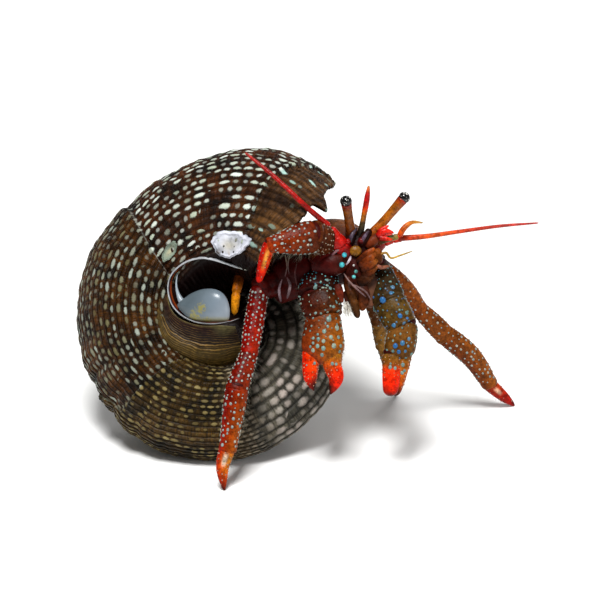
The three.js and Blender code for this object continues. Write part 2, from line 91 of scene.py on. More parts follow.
# %% Forms and meshes
class Form:
    """Closed bodies as arrays: points (n, 3), quads (m, 4), tris (k, 3), corner UVs and point tints."""

    def __init__(self, points, quads, tris, quad_uv, tri_uv, tint):
        self.points = np.asarray(points, float)
        self.quads, self.tris = quads, tris
        self.quad_uv, self.tri_uv = quad_uv, tri_uv
        self.tint = np.broadcast_to(tint, self.points.shape)


def joined(forms):
    """One form from many: their points end to end, with the face numbers moved on to match."""
    starts = np.cumsum([0] + [len(f.points) for f in forms[:-1]])
    parts = [(f.points, f.quads + start, f.tris + start, f.quad_uv, f.tri_uv, f.tint)
             for f, start in zip(forms, starts)]
    return Form(*(np.concatenate(part) for part in zip(*parts)))


def repeated(points, quads, tris, tint, places=0.0, patch=0.0):
    """Many like bodies as one form, from the points and tint of each and the faces of one. places are
    where the bodies lie on the unwrap, and patch is where each body's points lie from there."""
    count, size = points.shape[:2]
    starts = (np.arange(count) * size)[:, None, None]
    patch = np.broadcast_to(patch, (size, 2))
    places = np.broadcast_to(places, (count, 2))[:, None, None]
    return Form(points.reshape(-1, 3), (quads + starts).reshape(-1, 4), (tris + starts).reshape(-1, 3),
                (places + patch[quads]).reshape(-1, 4, 2), (places + patch[tris]).reshape(-1, 3, 2),
                np.repeat(tint, size, axis=0))


def volume(form):
    """The sum over all triangles of the space between each and the origin, negative if inside out."""
    q, t = form.points[form.quads], form.points[form.tris]
    triangles = np.concatenate([q[:, [0, 1, 2]], q[:, [0, 2, 3]], t])
    return np.einsum("ij,ij->", triangles[:, 0], np.cross(triangles[:, 1], triangles[:, 2])) / 6


def outward(form):
    """The same form with its faces turned over if they point inwards."""
    if volume(form) < 0:
        form.quads, form.tris = form.quads[:, ::-1], form.tris[:, ::-1]
        form.quad_uv, form.tri_uv = form.quad_uv[:, ::-1], form.tri_uv[:, ::-1]
    return form


def make_piece(name, forms, finish, slot, stands_for=(), uv_name="surface", marks=None):
    """Joins forms into one smooth mesh object that rides on the model. marks are extra numbers, one
    for each point, kept under their names for the finish to read."""
    form = joined([outward(f) for f in forms])
    mesh = bpy.data.meshes.new(name)
    corners = np.concatenate([form.quads.ravel(), form.tris.ravel()])
    sizes = np.concatenate([np.full(len(form.quads), 4), np.full(len(form.tris), 3)])
    mesh.vertices.add(len(form.points))
    mesh.vertices.foreach_set("co", to_metres(form.points).astype(np.float32).ravel())
    mesh.loops.add(len(corners))
    mesh.loops.foreach_set("vertex_index", corners.astype(np.int32))
    mesh.polygons.add(len(sizes))
    mesh.polygons.foreach_set("loop_start", (np.cumsum(sizes) - sizes).astype(np.int32))
    mesh.update(calc_edges=True)
    mesh.shade_smooth()
    uv = np.concatenate([form.quad_uv.reshape(-1, 2), form.tri_uv.reshape(-1, 2)])
    mesh.uv_layers.new(name=uv_name).uv.foreach_set("vector", uv.astype(np.float32).ravel())
    tint = np.ones((len(form.points), 4), np.float32)
    tint[:, :3] = form.tint
    mesh.color_attributes.new("tint", "FLOAT_COLOR", "POINT").data.foreach_set("color", tint.ravel())
    for mark, values in (marks or {}).items():
        layer = mesh.attributes.new(mark, "FLOAT", "POINT")
        layer.data.foreach_set("value", np.asarray(values, np.float32).ravel())
    mesh.materials.append(finish)
    piece = bpy.data.objects.new(name, mesh)
    bpy.context.scene.collection.objects.link(piece)
    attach(piece, "root")
    if stands_for:
        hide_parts(*stands_for)
    print(f"{name}: {2 * len(form.quads) + len(form.tris)} triangles")
    return piece

# %% [markdown]
# ## Tubes along smooth lines
#
# Nearly every part of a crab is a tube: a leg segment, an eyestalk, a feeler. A tube here is a
# centre line through a few points, with a ring round it at each step, and both ends drawn shut.
# The line bends smoothly because each stretch is a cubic that leaves a point in the direction of
# its two neighbours.

# %% Smooth lines
AWAY = np.array([0.1, 0.85, -0.3])  # from the crab's face side to its far side


def smooth(values, t):
    """A curve through evenly spaced values, t from 0 to 1: each stretch is the cubic whose slope at
    a value is half the step between that value's two neighbours."""
    v = np.asarray(values, float)
    v = v.reshape(len(v), -1)
    v = np.vstack([2 * v[0] - v[1], v, 2 * v[-1] - v[-2]])
    place = np.clip(np.asarray(t, float), 0, 1) * (len(v) - 3)
    i = np.minimum(place.astype(int), len(v) - 4)
    f = (place - i)[..., None]
    a, b, c, d = (v[i + k] for k in range(4))
    return 0.5 * (2 * b + (c - a) * f + (2 * a - 5 * b + 4 * c - d) * f**2 + (3 * b - a - 3 * c + d) * f**3)


def line_length(points):
    """The sum of the short steps along the smooth line."""
    fine = smooth(points, np.linspace(0, 1, 200))
    return np.linalg.norm(np.diff(fine, axis=0), axis=1).sum()


def line_at(points, t):
    """The point that lies the share t of the smooth line's length along it."""
    fine = smooth(points, np.linspace(0, 1, 200))
    along = np.concatenate([[0], np.cumsum(np.linalg.norm(np.diff(fine, axis=0), axis=1))])
    place = np.asarray(t, float) * along[-1]
    return np.stack([np.interp(place, along, fine[:, k]) for k in range(3)], -1)


def line_frame(points, thin, t):
    """Centre, direction, and the wide and deep directions across the line, square to each other."""
    step = 0.01
    along = unit(line_at(points, np.minimum(t + step, 1)) - line_at(points, np.maximum(t - step, 0)))
    wide = unit(np.cross(along, thin))
    return line_at(points, t), along, wide, np.cross(wide, along)


def tube_at(points, girths, t, turn, flat=1.0, thin=AWAY, corner=2.0, ends=(0.06, 0.06), relief=0.0):
    """A point of a tube's skin: centre + wide * half * cos(turn) + deep * half * flat * sin(turn),
    where half is the girth there times a quarter circle over each end. A corner over 2 squares the
    ring, and relief lifts the skin by that many millimetres."""
    t, turn = np.asarray(t, float), np.asarray(turn, float)
    centre, _, wide, deep = line_frame(points, thin, t)
    near = np.clip(t / ends[0], 0, 1)
    far = np.clip((1 - t) / ends[1], 0, 1)
    close = np.sqrt(1 - (1 - near) ** 2) * np.sqrt(1 - (1 - far) ** 2)
    c, s = np.cos(turn), np.sin(turn)
    ring = (np.abs(c) ** corner + np.abs(s) ** corner) ** (-1 / corner)
    half = (smooth(girths, t)[..., 0] * ring + relief) * close
    return centre + wide * (half * c)[..., None] + deep * (half * flat * s)[..., None]

# %% Closed forms from rings of points
def face_corners(values, wrapped=0):
    """The values at the four corners of each face of a grid of rings. The first column comes again
    after the last one, with wrapped added."""
    grid = np.concatenate([values, values[:, :1] + wrapped], 1)
    corners = np.stack([grid[:-1, :-1], grid[:-1, 1:], grid[1:, 1:], grid[1:, :-1]], 2)
    return corners.reshape(-1, 4, values.shape[-1])


def ring_quads(rings, sides):
    """The four-sided faces between rings of points that are numbered ring after ring."""
    return face_corners(np.arange(rings * sides).reshape(rings, sides, 1))[..., 0]


def grid_form(grid, tint, ends=None):
    """A form from rings of points, closed by a fan from each end ring to its middle or to the given
    end point. Its UV is the share of a turn and the distance along in millimetres."""
    rows, sides = grid.shape[:2]
    ends = (grid[0].mean(0), grid[-1].mean(0)) if ends is None else ends
    ring, after, last = np.arange(sides), np.roll(np.arange(sides), -1), (rows - 1) * sides
    fans = [np.stack([np.full(sides, rows * sides), after, ring], -1),
            np.stack([np.full(sides, rows * sides + 1), last + ring, last + after], -1)]
    along = np.concatenate([[0], np.cumsum(np.linalg.norm(np.diff(grid.mean(1), axis=0), axis=1))])
    u = ring / sides
    quad_uv = face_corners(np.stack([u + 0 * along[:, None], along[:, None] + 0 * u], -1), [1, 0])
    shares = [(u + 0.5 / sides, u + 1 / sides, u), (u + 0.5 / sides, u, u + 1 / sides)]
    tri_uv = [np.stack([np.stack([share, np.full(sides, v)], -1) for share in three], 1)
              for three, v in zip(shares, along[[0, -1]])]
    tint = np.broadcast_to(tint, grid.shape).reshape(-1, 3)
    return Form(np.concatenate([grid.reshape(-1, 3), ends]), ring_quads(rows, sides), np.concatenate(fans),
                quad_uv, np.concatenate(tri_uv), np.concatenate([tint, tint[[0, -1]]]))


def even_turns(sides):
    """The angles of evenly spaced points round a ring, as one row."""
    return np.arange(sides)[None, :] / sides * 2 * math.pi


def stations(rows, sides):
    """Steps from 0 to 1 that crowd towards both ends, where a tube closes, and the angles round it."""
    even = (np.arange(rows)[:, None] + 0.5) / rows
    return 0.5 * even + 0.5 * (0.5 - 0.5 * np.cos(math.pi * even)), even_turns(sides)


def tube_form(points, girths, tint, rows=40, sides=32, **shape):
    """A closed tube as a form. tint is a string of hex colours from the first end to the last."""
    t, turn = stations(rows, sides)
    grid = tube_at(points, girths, t, turn, **shape)
    return grid_form(grid, blend_of(tint, t) + 0 * turn[..., None], line_at(points, [0, 1]))


def ball_form(centre, radii, axes, tint, rows=14, sides=18):
    """An ellipsoid: rings at even latitudes along the first axis, with a radius for each axis."""
    latitude = (np.arange(rows) + 0.5)[:, None] / rows * math.pi
    turn = even_turns(sides)
    grid = (centre + axes[0] * (-radii[0] * np.cos(latitude) + 0 * turn)[..., None]
            + axes[1] * (radii[1] * np.sin(latitude) * np.cos(turn))[..., None]
            + axes[2] * (radii[2] * np.sin(latitude) * np.sin(turn))[..., None])
    return grid_form(grid, linear(tint), centre + axes[0] * radii[0] * np.array([[-1], [1]]))

# %% Numbers, tables and rows of tubes from text
def numbers(text):
    """Numbers from text: one row from "1 2 3", and rows of points from "1 2 3, 4 5 6"."""
    rows = [[float(number) for number in row.split()] for row in text.split(",")]
    return np.array(rows if len(rows) > 1 else rows[0])


def table(text):
    """The rows of a text table as lists of fields: bars part the fields, and an indented line carries
    on the row above it."""
    rows = text.replace("\n    ", " ").strip().splitlines()
    return [[field.strip() for field in row.split("|")] for row in rows]


def tubes_of(text, spread=np.asarray):
    """Tubes from a table whose rows are name | points | girths | colours."""
    for name, points, girths, stops in table(text):
        yield name, spread(numbers(points)), numbers(girths), stops

# %% [markdown]
# ## Finishes
#
# A finish is a tree of nodes. Colours are written as they look on a screen (sRGB hex) and are
# turned to the linear numbers that light is added up in. A tree is written as a list of steps, one
# line for each node, and one small function adds the node of a line. That reads like a recipe, where
# the same tree in plain calls would be three times as long.

# %% Colours
def linear(hex_colour):
    """sRGB hex to linear: c / 12.92 when dark, otherwise ((c + 0.055) / 1.055) to the power 2.4."""
    c = np.array([int(hex_colour[i:i + 2], 16) / 255 for i in (0, 2, 4)])
    return np.where(c <= 0.04045, c / 12.92, ((c + 0.055) / 1.055) ** 2.4)


def palette(stops):
    """The linear colours of a string of hex colours."""
    return np.array([linear(stop) for stop in stops.split()])


def blend_of(stops, t):
    """Colours along t, straight lines between evenly spaced hex stops."""
    colours = palette(stops)
    place = np.linspace(0, 1, len(colours))
    return np.stack([np.interp(t, place, colours[:, k]) for k in range(3)], -1)

# %% Nodes and materials
# The setting that a word in capitals stands for, by kind of node.
MAIN_SETTING = {"Math": "operation", "VectorMath": "operation", "Mix": "data_type",
                "MapRange": "interpolation_type", "TexWhiteNoise": "noise_dimensions"}


def word_value(word, made):
    """What a word of a step means: a #colour, a list with commas, an earlier node, one output of an
    earlier node, written name.output, or a number."""
    name, _, output = word.partition(".")
    if word[0] == "#":
        return (*linear(word[1:]), 1)
    if "," in word:
        return tuple(float(part) for part in word.split(","))
    if name not in made:
        return float(word)
    outputs = made[name].outputs
    return outputs[0] if not output else outputs[int(output) if output.isdigit() else output]


SIGNS = {"+": "ADD", "-": "SUBTRACT", "*": "MULTIPLY", "/": "DIVIDE"}


def node(tree, step, made):
    """Adds the node of one step, "name = Kind words", with its settings and links. Each word fills
    the next input, or - leaves it; key=value fills the input of that name or number, or is a setting
    if the key is in small letters. A Math node is written as "name = a + b", as "name = a * b + c",
    or with its operation in capitals in the place of the kind."""
    name, _, kind, *words = step.split()
    if kind.isupper():
        kind, words = "Math", [kind, *words]
    elif words and words[0] in SIGNS:
        operation = SIGNS[words[0]] + ("_ADD" if len(words) > 2 else "")
        kind, words = "Math", [operation, kind, *words[1::2]]
    new = made[name] if name == "shader" else tree.nodes.new("ShaderNode" + kind)
    count = 0
    for word in words:
        key, equals, value = word.partition("=")
        if key == "stops":
            stops = [stop.split(":") for stop in value.split(",")]
            ramp = new.color_ramp.elements
            while len(ramp) < len(stops):
                ramp.new(0.5)
            for element, (place, colour) in zip(ramp, stops):
                element.position, element.color = float(place), (*linear(colour), 1)
        elif equals and key[0].islower():
            setattr(new, key, value)
        elif word.isupper() and not equals:
            setattr(new, MAIN_SETTING[kind], word)
        else:
            socket = new.inputs[(int(key) if key.isdigit() else key.replace("_", " ")) if equals else count]
            count += not equals
            value = word_value(value or key, made) if word != "-" else None
            if isinstance(value, bpy.types.NodeSocket):
                tree.links.new(value, socket)
            elif value is not None:
                socket.default_value = value
    made[name] = new


def per(size_mm):
    """The scale that makes a pattern on Object coordinates repeat about every size_mm."""
    return 1 / (size_mm * MM)


def new_finish(name, steps, **sockets):
    """A material: its shader's plain values, then a node for each line of steps that isn't a note."""
    finish = bpy.data.materials.new(name)
    finish.use_nodes = True
    made = {"shader": finish.node_tree.nodes["Principled BSDF"]}
    for socket, value in sockets.items():
        made["shader"].inputs[socket.replace("_", " ")].default_value = value
    for step in steps.splitlines():
        if step.strip() and not step.strip().startswith("# "):
            node(finish.node_tree, step, made)
    return finish


def clouded(size_mm, detail, dark, light, low=0.3, high=0.7, rough=0.5):
    """Steps that many finishes start with: the piece's tint, darker and lighter in soft clouds."""
    return f"""
    place = TexCoord
    tint = Attribute attribute_name=tint
    cloud = TexNoise Vector=place.Object Scale={per(size_mm)} Detail={detail} Roughness={rough}
    shade = MapRange cloud {low} {high} {dark} {light}
    colour = VectorMath SCALE tint.Color Scale=shade"""


# %% [markdown]
# ## The top shell: its surface
#
# A snail adds to its shell only at the mouth, and every new bit is the same shape but larger. So
# the whole shell is one ring, the shape of the mouth, swept round an axis while it grows by the
# same share with each turn. Two numbers place any point: how far back from the mouth it is, as an
# angle, and where it is round the ring. Other ways would be to sculpt it by eye or to trace a
# profile and spin it, but neither gives the whorls, the umbilicus and the mouth at once.

# %% The sizes of the shell
FOOT = np.array([-8.1, -3.7, 15.97])  # where the axis leaves the base
AXIS = unit([0.187, 0.6805, -0.7085])  # from the base towards the apex
UP = unit(np.cross([1, 0, 0], AXIS))
SIDE = np.cross(AXIS, UP)
HEIGHT = 22.3
GROWTH = 1.908  # how many times larger the tube is after one turn
TURNS = 3.5
LIP_ANGLE = math.radians(57.7)
RING = {"radius": 9.95, "height": 5.7, "across": 5.93, "along": 5.68}
WALL = 0.9
LIP_SHARE = 0.45  # how thick the lip is, as a share of the wall
SWELL = [
    -1.1, -0.1, 0.4, 0.2, 0, 0.1, 0.2, 0.45, 0.3, 0.2, 0.2, 0.1, 0.25, 0.2, 0, 0, 0.1, 0, 0, 0.2, 0.2, 0,
]  # how old growth swells the side in and out, every 15 degrees back from just past the lip
RIBS = 52  # spiral ribs round the ring
BEAD = 1.02  # mm along a rib from one pale bead to the next


def shell_at(at, turn, lift=0.0):
    """A point of the shell. at is the angle past the mouth (negative is older), turn the angle round
    the ring: 0 outwards, 90 degrees towards the apex. The ring is an ellipse with a power that
    squares its umbilicus side; it is scaled by growth to the power at / one turn, and lift raises
    the skin by that share of a millimetre at the mouth's size."""
    c, s = np.cos(turn), np.sin(turn)
    inward = np.maximum(0, -c)
    power = 2 / (2 + inward - np.maximum(0, c) * np.maximum(0, s))
    climb = 1 + 0.4 * inward * np.maximum(0, s)
    radius = RING["radius"] + (RING["across"] + lift) * np.sign(c) * np.abs(c) ** power
    height = RING["height"] + (RING["along"] + lift) * np.sign(s) * np.abs(s) ** power * climb
    size = GROWTH ** (at / (2 * math.pi))
    swell = np.interp(1 - np.degrees(at) / 15, np.arange(len(SWELL)), SWELL) * np.maximum(0, c)
    out = size * radius + swell
    angle = LIP_ANGLE - at
    up = HEIGHT - size * (HEIGHT - height)
    point = FOOT + SIDE * (out * np.cos(angle))[..., None] + UP * (out * np.sin(angle))[..., None]
    point = point + AXIS * up[..., None]
    point[..., 2] = np.maximum(point[..., 2], 0)
    return point

# %% [markdown]
# ## Where the snail rested
#
# A snail grows in spurts. Where it rests, the lip thickens, and the next spurt starts a little lower,
# with beads of another size and shade. This whorl shows three such rests. Each is a line across the
# ribs, and the number of degrees from it to a place is used three times: for the step in the
# surface, for the shade of the beads on each side, and for the thin pale line between.

# %% Distance from each rest
OLD_REST_TURNS = [-180, -127, -113, -31, -21, -9, 60]  # degrees round the ring
OLD_REST_BACKS = [160, 168.6, 164, 162, 152, 147, 150]  # degrees back from the mouth
REST_DEPTHS = [0.26, 0.42, 0.36]  # mm, the newest rest first


def since_rests(at, turn):
    """Degrees of growth from each rest to a place, positive on the older side: the angle back less
    13.6 + 17.2 sin(turn) - 1.7 cos(turn) and so on, or less a curve through the values above."""
    back = -np.degrees(at)
    oldest = np.interp(np.degrees(turn), OLD_REST_TURNS, OLD_REST_BACKS, period=360)
    return [back + 13.6 + 17.2 * np.sin(turn) - 1.7 * np.cos(turn),
            back - 81.1 - 7.6 * np.sin(turn) + 8.6 * np.cos(turn),
            back - oldest]

# %% [markdown]
# ## Ribs and beads
#
# The shell is ribbed along its spiral, and each rib is a string of low beads whose tops have worn
# pale. The same bead formula is used twice, here for the shape and later for the colour, so that
# each pale fleck sits on its own bead.

# %% The relief of the shell
COARSE = math.radians(232)  # from here back there are half as many ribs, with broader beads
COARSE_PITCH = 0.6  # beads to the millimetre there, as a share of the number on newer growth


def rib_place(at, turn):
    """Which rib a place falls on, as a whole number, and how far off its middle, -0.5 to 0.5."""
    rib = turn * RIBS / (2 * math.pi) * np.where(-at > COARSE, 0.5, 1)
    row = np.floor(rib)
    return row, rib - row - 0.5


def bead_place(at, row):
    """How far along its rib a place is, in beads: the angle back times the rib's own radius over the
    bead length, with each rib shifted by a golden share and a slow wave so that they don't line up."""
    coarse = -at > COARSE
    turn = (row + 0.5) * 2 * math.pi / (RIBS * np.where(coarse, 0.5, 1))
    radius = RING["radius"] + RING["across"] * np.cos(turn)
    beads = -at * radius / BEAD * np.where(coarse, COARSE_PITCH, 1)
    return beads + 3 * np.mod(row * 0.618, 1) + 0.25 * np.sin(-at * 9 + row * 1.7)


def shell_relief(at, turn):
    """Rounded ribs with a narrow groove between them, beads on the ribs, slow growth waves, a step
    at each rest where the older shell stands over the newer, and hollows where waves wore it."""
    row, off = rib_place(at, turn)
    bead = bead_place(at, row)
    off_bead = bead - np.floor(bead) - 0.5
    outer = np.clip((np.cos(turn) + 0.88) / 0.14, 0, 1)
    ribs = -0.1 * np.abs(2 * off) ** 3 + 0.06 * np.exp(-((off_bead / 0.3) ** 2)) * (1 - (2 * off) ** 2)
    waves = 0.03 * np.sin(at * 61 + 2 * np.sin(turn * 2)) + 0.035 * np.sin(at * 23 + 1.3 * turn)
    steps = np.zeros_like(at * turn)
    for past, depth in zip(since_rests(at, turn), REST_DEPTHS):
        newer = np.clip(-past, 0, 200)
        steps = steps - depth * np.exp(-newer / 5) / (1 + np.exp(np.clip(past * 4, -30, 30)))
        steps = steps + 0.14 * np.exp(-np.clip((past - 0.8) / 0.8, -6, 6) ** 2)
    # Worn hollows along the outside of one stretch, 100 to 200 degrees back.
    worn = np.exp(-(((np.degrees(at) + 150) / 32) ** 2)) * np.clip(np.cos(turn + 0.3), 0, 1)
    hollows = -0.16 * (1 + np.sin(23 * at + 1)) * (1 + 0.5 * np.sin(51 * at + 2))
    return ribs * outer + waves + steps + hollows * worn

# %% [markdown]
# ## The last whorl, its lip and its inside
#
# The last whorl is one closed surface: it starts inside the spire, runs round to the mouth, rolls
# over the thin chipped lip, and comes back as the inner wall. The rows are spaced evenly along the
# growing spiral, and the columns crowd on the side that shows, so that each rib has several points
# across it and the piece still stays under its limit of triangles.

# %% Build the last whorl
def ring_turns(count):
    """Angles round the ring, 35% denser on the outer side than on the side hidden by older whorls."""
    even = np.arange(count) / count * 2 * math.pi - math.pi
    return even - 0.35 * np.sin(even + math.radians(20))


def lip_lead(turn):
    """How far the lip runs ahead, in degrees: 11.2 + 14.3 cos(turn + 104.6) + 3 cos(2 turn - 49.4).
    Then how much of it is chipped off: the peaks of three waves, less the one broken spike."""
    whole = 11.2 + 14.3 * np.cos(turn + math.radians(104.6)) + 3 * np.cos(2 * turn - math.radians(49.4))
    chips = 0.7 * np.maximum(0, np.sin(turn * 9 + 1)) + 0.5 * np.maximum(0, np.sin(turn * 23))
    chips = chips + 0.4 * np.maximum(0, np.sin(turn * 41 + 2))
    off = np.degrees(turn) + 66
    spike = 6.3 * np.exp(-((off / np.where(off > 0, 8, 3)) ** 2))
    return whole, chips * (1 - np.exp(-(((off - 12) / 16) ** 2))) - spike


def whorl_rows(from_at, to_at, count):
    """Angles whose sizes are evenly spaced, which makes the steps along the growing spiral even."""
    sizes = np.linspace(GROWTH ** (from_at / (2 * math.pi)), GROWTH ** (to_at / (2 * math.pi)), count)
    return 2 * math.pi * np.log(sizes) / math.log(GROWTH)


def shell_form(turn, lift, at):
    """Rings of the shell as a form whose UV is the angle back and the rib's number."""
    form = grid_form(shell_at(at, turn, lift), linear("4a3620"))
    rib = np.broadcast_to(turn * RIBS / (2 * math.pi), at.shape)
    form.quad_uv = face_corners(np.stack([-at, rib], -1), [0, RIBS])
    form.tri_uv = np.zeros((2 * len(turn[0]), 3, 2))
    return form


def shell_marks(at, turn, inside):
    """The numbers that the finish reads at each point, with two more for the fans' middle points:
    the degrees since each rest, and 1 on the inner wall."""
    marks = {f"since_rest_{k + 1}": np.append(since, since[0, :1].tolist() * 2)
             for k, since in enumerate(since_rests(at, turn))}
    return {**marks, "inside": np.append(np.broadcast_to(inside, at.shape), [0, 1])}


turn = ring_turns(296)[None, :]
lead, chips = (np.radians(part) for part in lip_lead(turn))
outer = whorl_rows(-2 * math.pi, 0, 300)[:, None]
fade = np.maximum(0, 1 + outer / math.pi)
near_lip = np.exp(outer / math.radians(3))
outer_at = outer + fade * lead - near_lip * chips
outer_lift = shell_relief(outer_at, turn) * (1 - 0.5 * near_lip)
# The lip rolls over in a half circle, and the inner wall thickens as it runs half a turn back.
roll = np.radians(np.linspace(20, 180, 6))[:, None]
lip_at = outer_at[-1:] + 0.01 * np.sin(roll)
lip_lift = outer_lift[-1:] - WALL * LIP_SHARE / 2 * (1 - np.cos(roll))
inner = np.radians(-np.array([2, 5, 9, 14, 20, 30, 45, 60, 80, 100, 120, 140, 160, 178]))[:, None]
inner_at = inner + np.maximum(0, 1 + inner / math.pi) * lead - np.exp(inner / math.radians(3)) * chips
inner_lift = -WALL * (1 - (1 - LIP_SHARE) * np.exp(inner / math.radians(8))) + 0 * inner_at
at = np.concatenate([outer_at, lip_at, inner_at])
lift = np.concatenate([outer_lift, lip_lift, inner_lift])
whorl = shell_form(turn, lift, at)
rows_inside = np.concatenate([np.zeros(len(outer)), np.full(len(roll), 0.5), np.ones(len(inner))])[:, None]
whorl_marks = shell_marks(at, turn, rows_inside)
print("last whorl:", at.shape)

# %% [markdown]
# ## The older whorls
#
# The spire is the same surface, further back. It ends in the first tiny whorl, which closes in a
# round tip. The umbilicus, the hollow down the middle of the coil, is stopped by a core painted
# nearly black, a plug that stands for the shade deep in the hollow.

# %% Build the spire and the core
SPIRE_START = -TURNS * 2 * math.pi
spire_turn = ring_turns(132)[None, :]
spire_rows = whorl_rows(SPIRE_START, -2 * math.pi + 0.03, 250)[1:]
round_off = np.radians(np.linspace(8, 90, 6))
spire = np.concatenate([SPIRE_START - 0.8 * np.cos(round_off), spire_rows])[:, None]
closing = np.concatenate([np.sin(round_off), np.ones(249)])[:, None]
spire_at = spire + 0 * spire_turn
spire_lift = shell_relief(spire_at, spire_turn) * np.minimum(1, closing) - RING["along"] * (1 - closing)
spire_form = shell_form(spire_turn, spire_lift, spire_at)
spire_marks = shell_marks(spire_at, spire_turn, np.zeros((255, 1)))


def core_form():
    """The plug of the umbilicus: a cone of rings round the axis from 9 mm up to near the apex, nearly
    black as painted shade.
    """
    height = np.linspace(9, HEIGHT - 1.2, 12)[:, None]
    angle = even_turns(40)
    radius = (RING["radius"] - RING["across"]) / (HEIGHT - RING["height"]) * (HEIGHT - height) + 0.25
    grid = (FOOT + AXIS * (height + 0 * angle)[..., None]
            + SIDE * (radius * np.cos(angle))[..., None] + UP * (radius * np.sin(angle))[..., None])
    return grid_form(grid, linear("120a06"))

# %% [markdown]
# ## The finish of the shell
#
# A top shell from a rocky shore is a brown-black horn-like skin over mother of pearl, with pale worn
# beads in rows, rusty and olive patches, and a little wet shine. The finish works out the rib and
# the bead from the UV with the same formula as the relief. Each bead then draws its own number,
# which decides whether it is pale, how long it is and its shade. The zone, 0 on the newest growth
# to 4 on the oldest, picks the colours, one set for each zone.

# %% Horn-like shell skin, beaded and worn pale
GROUND_DARK = "2c1b0f 130a05 100802 171106 302e27"
GROUND_LIGHT = "624120 4a260d 4a2a08 4a3410 5a5548"
FLECK_PALE = "a6cbc1 d2dad0 929a8e 8f8052 ab9f96"
FLECK_DEEP = "647364 a6b09a 625c3d 574825 969086"
REST_LINES = "1b1e12 adb0a4 868978"  # a dark line at the newest rest, silvery at the older two


def zone_stops(colours):
    """Ramp stops that give each of the five zones its own colour, as zone / 4."""
    return ",".join(f"{k / 4}:{colour}" for k, colour in enumerate(colours.split()))


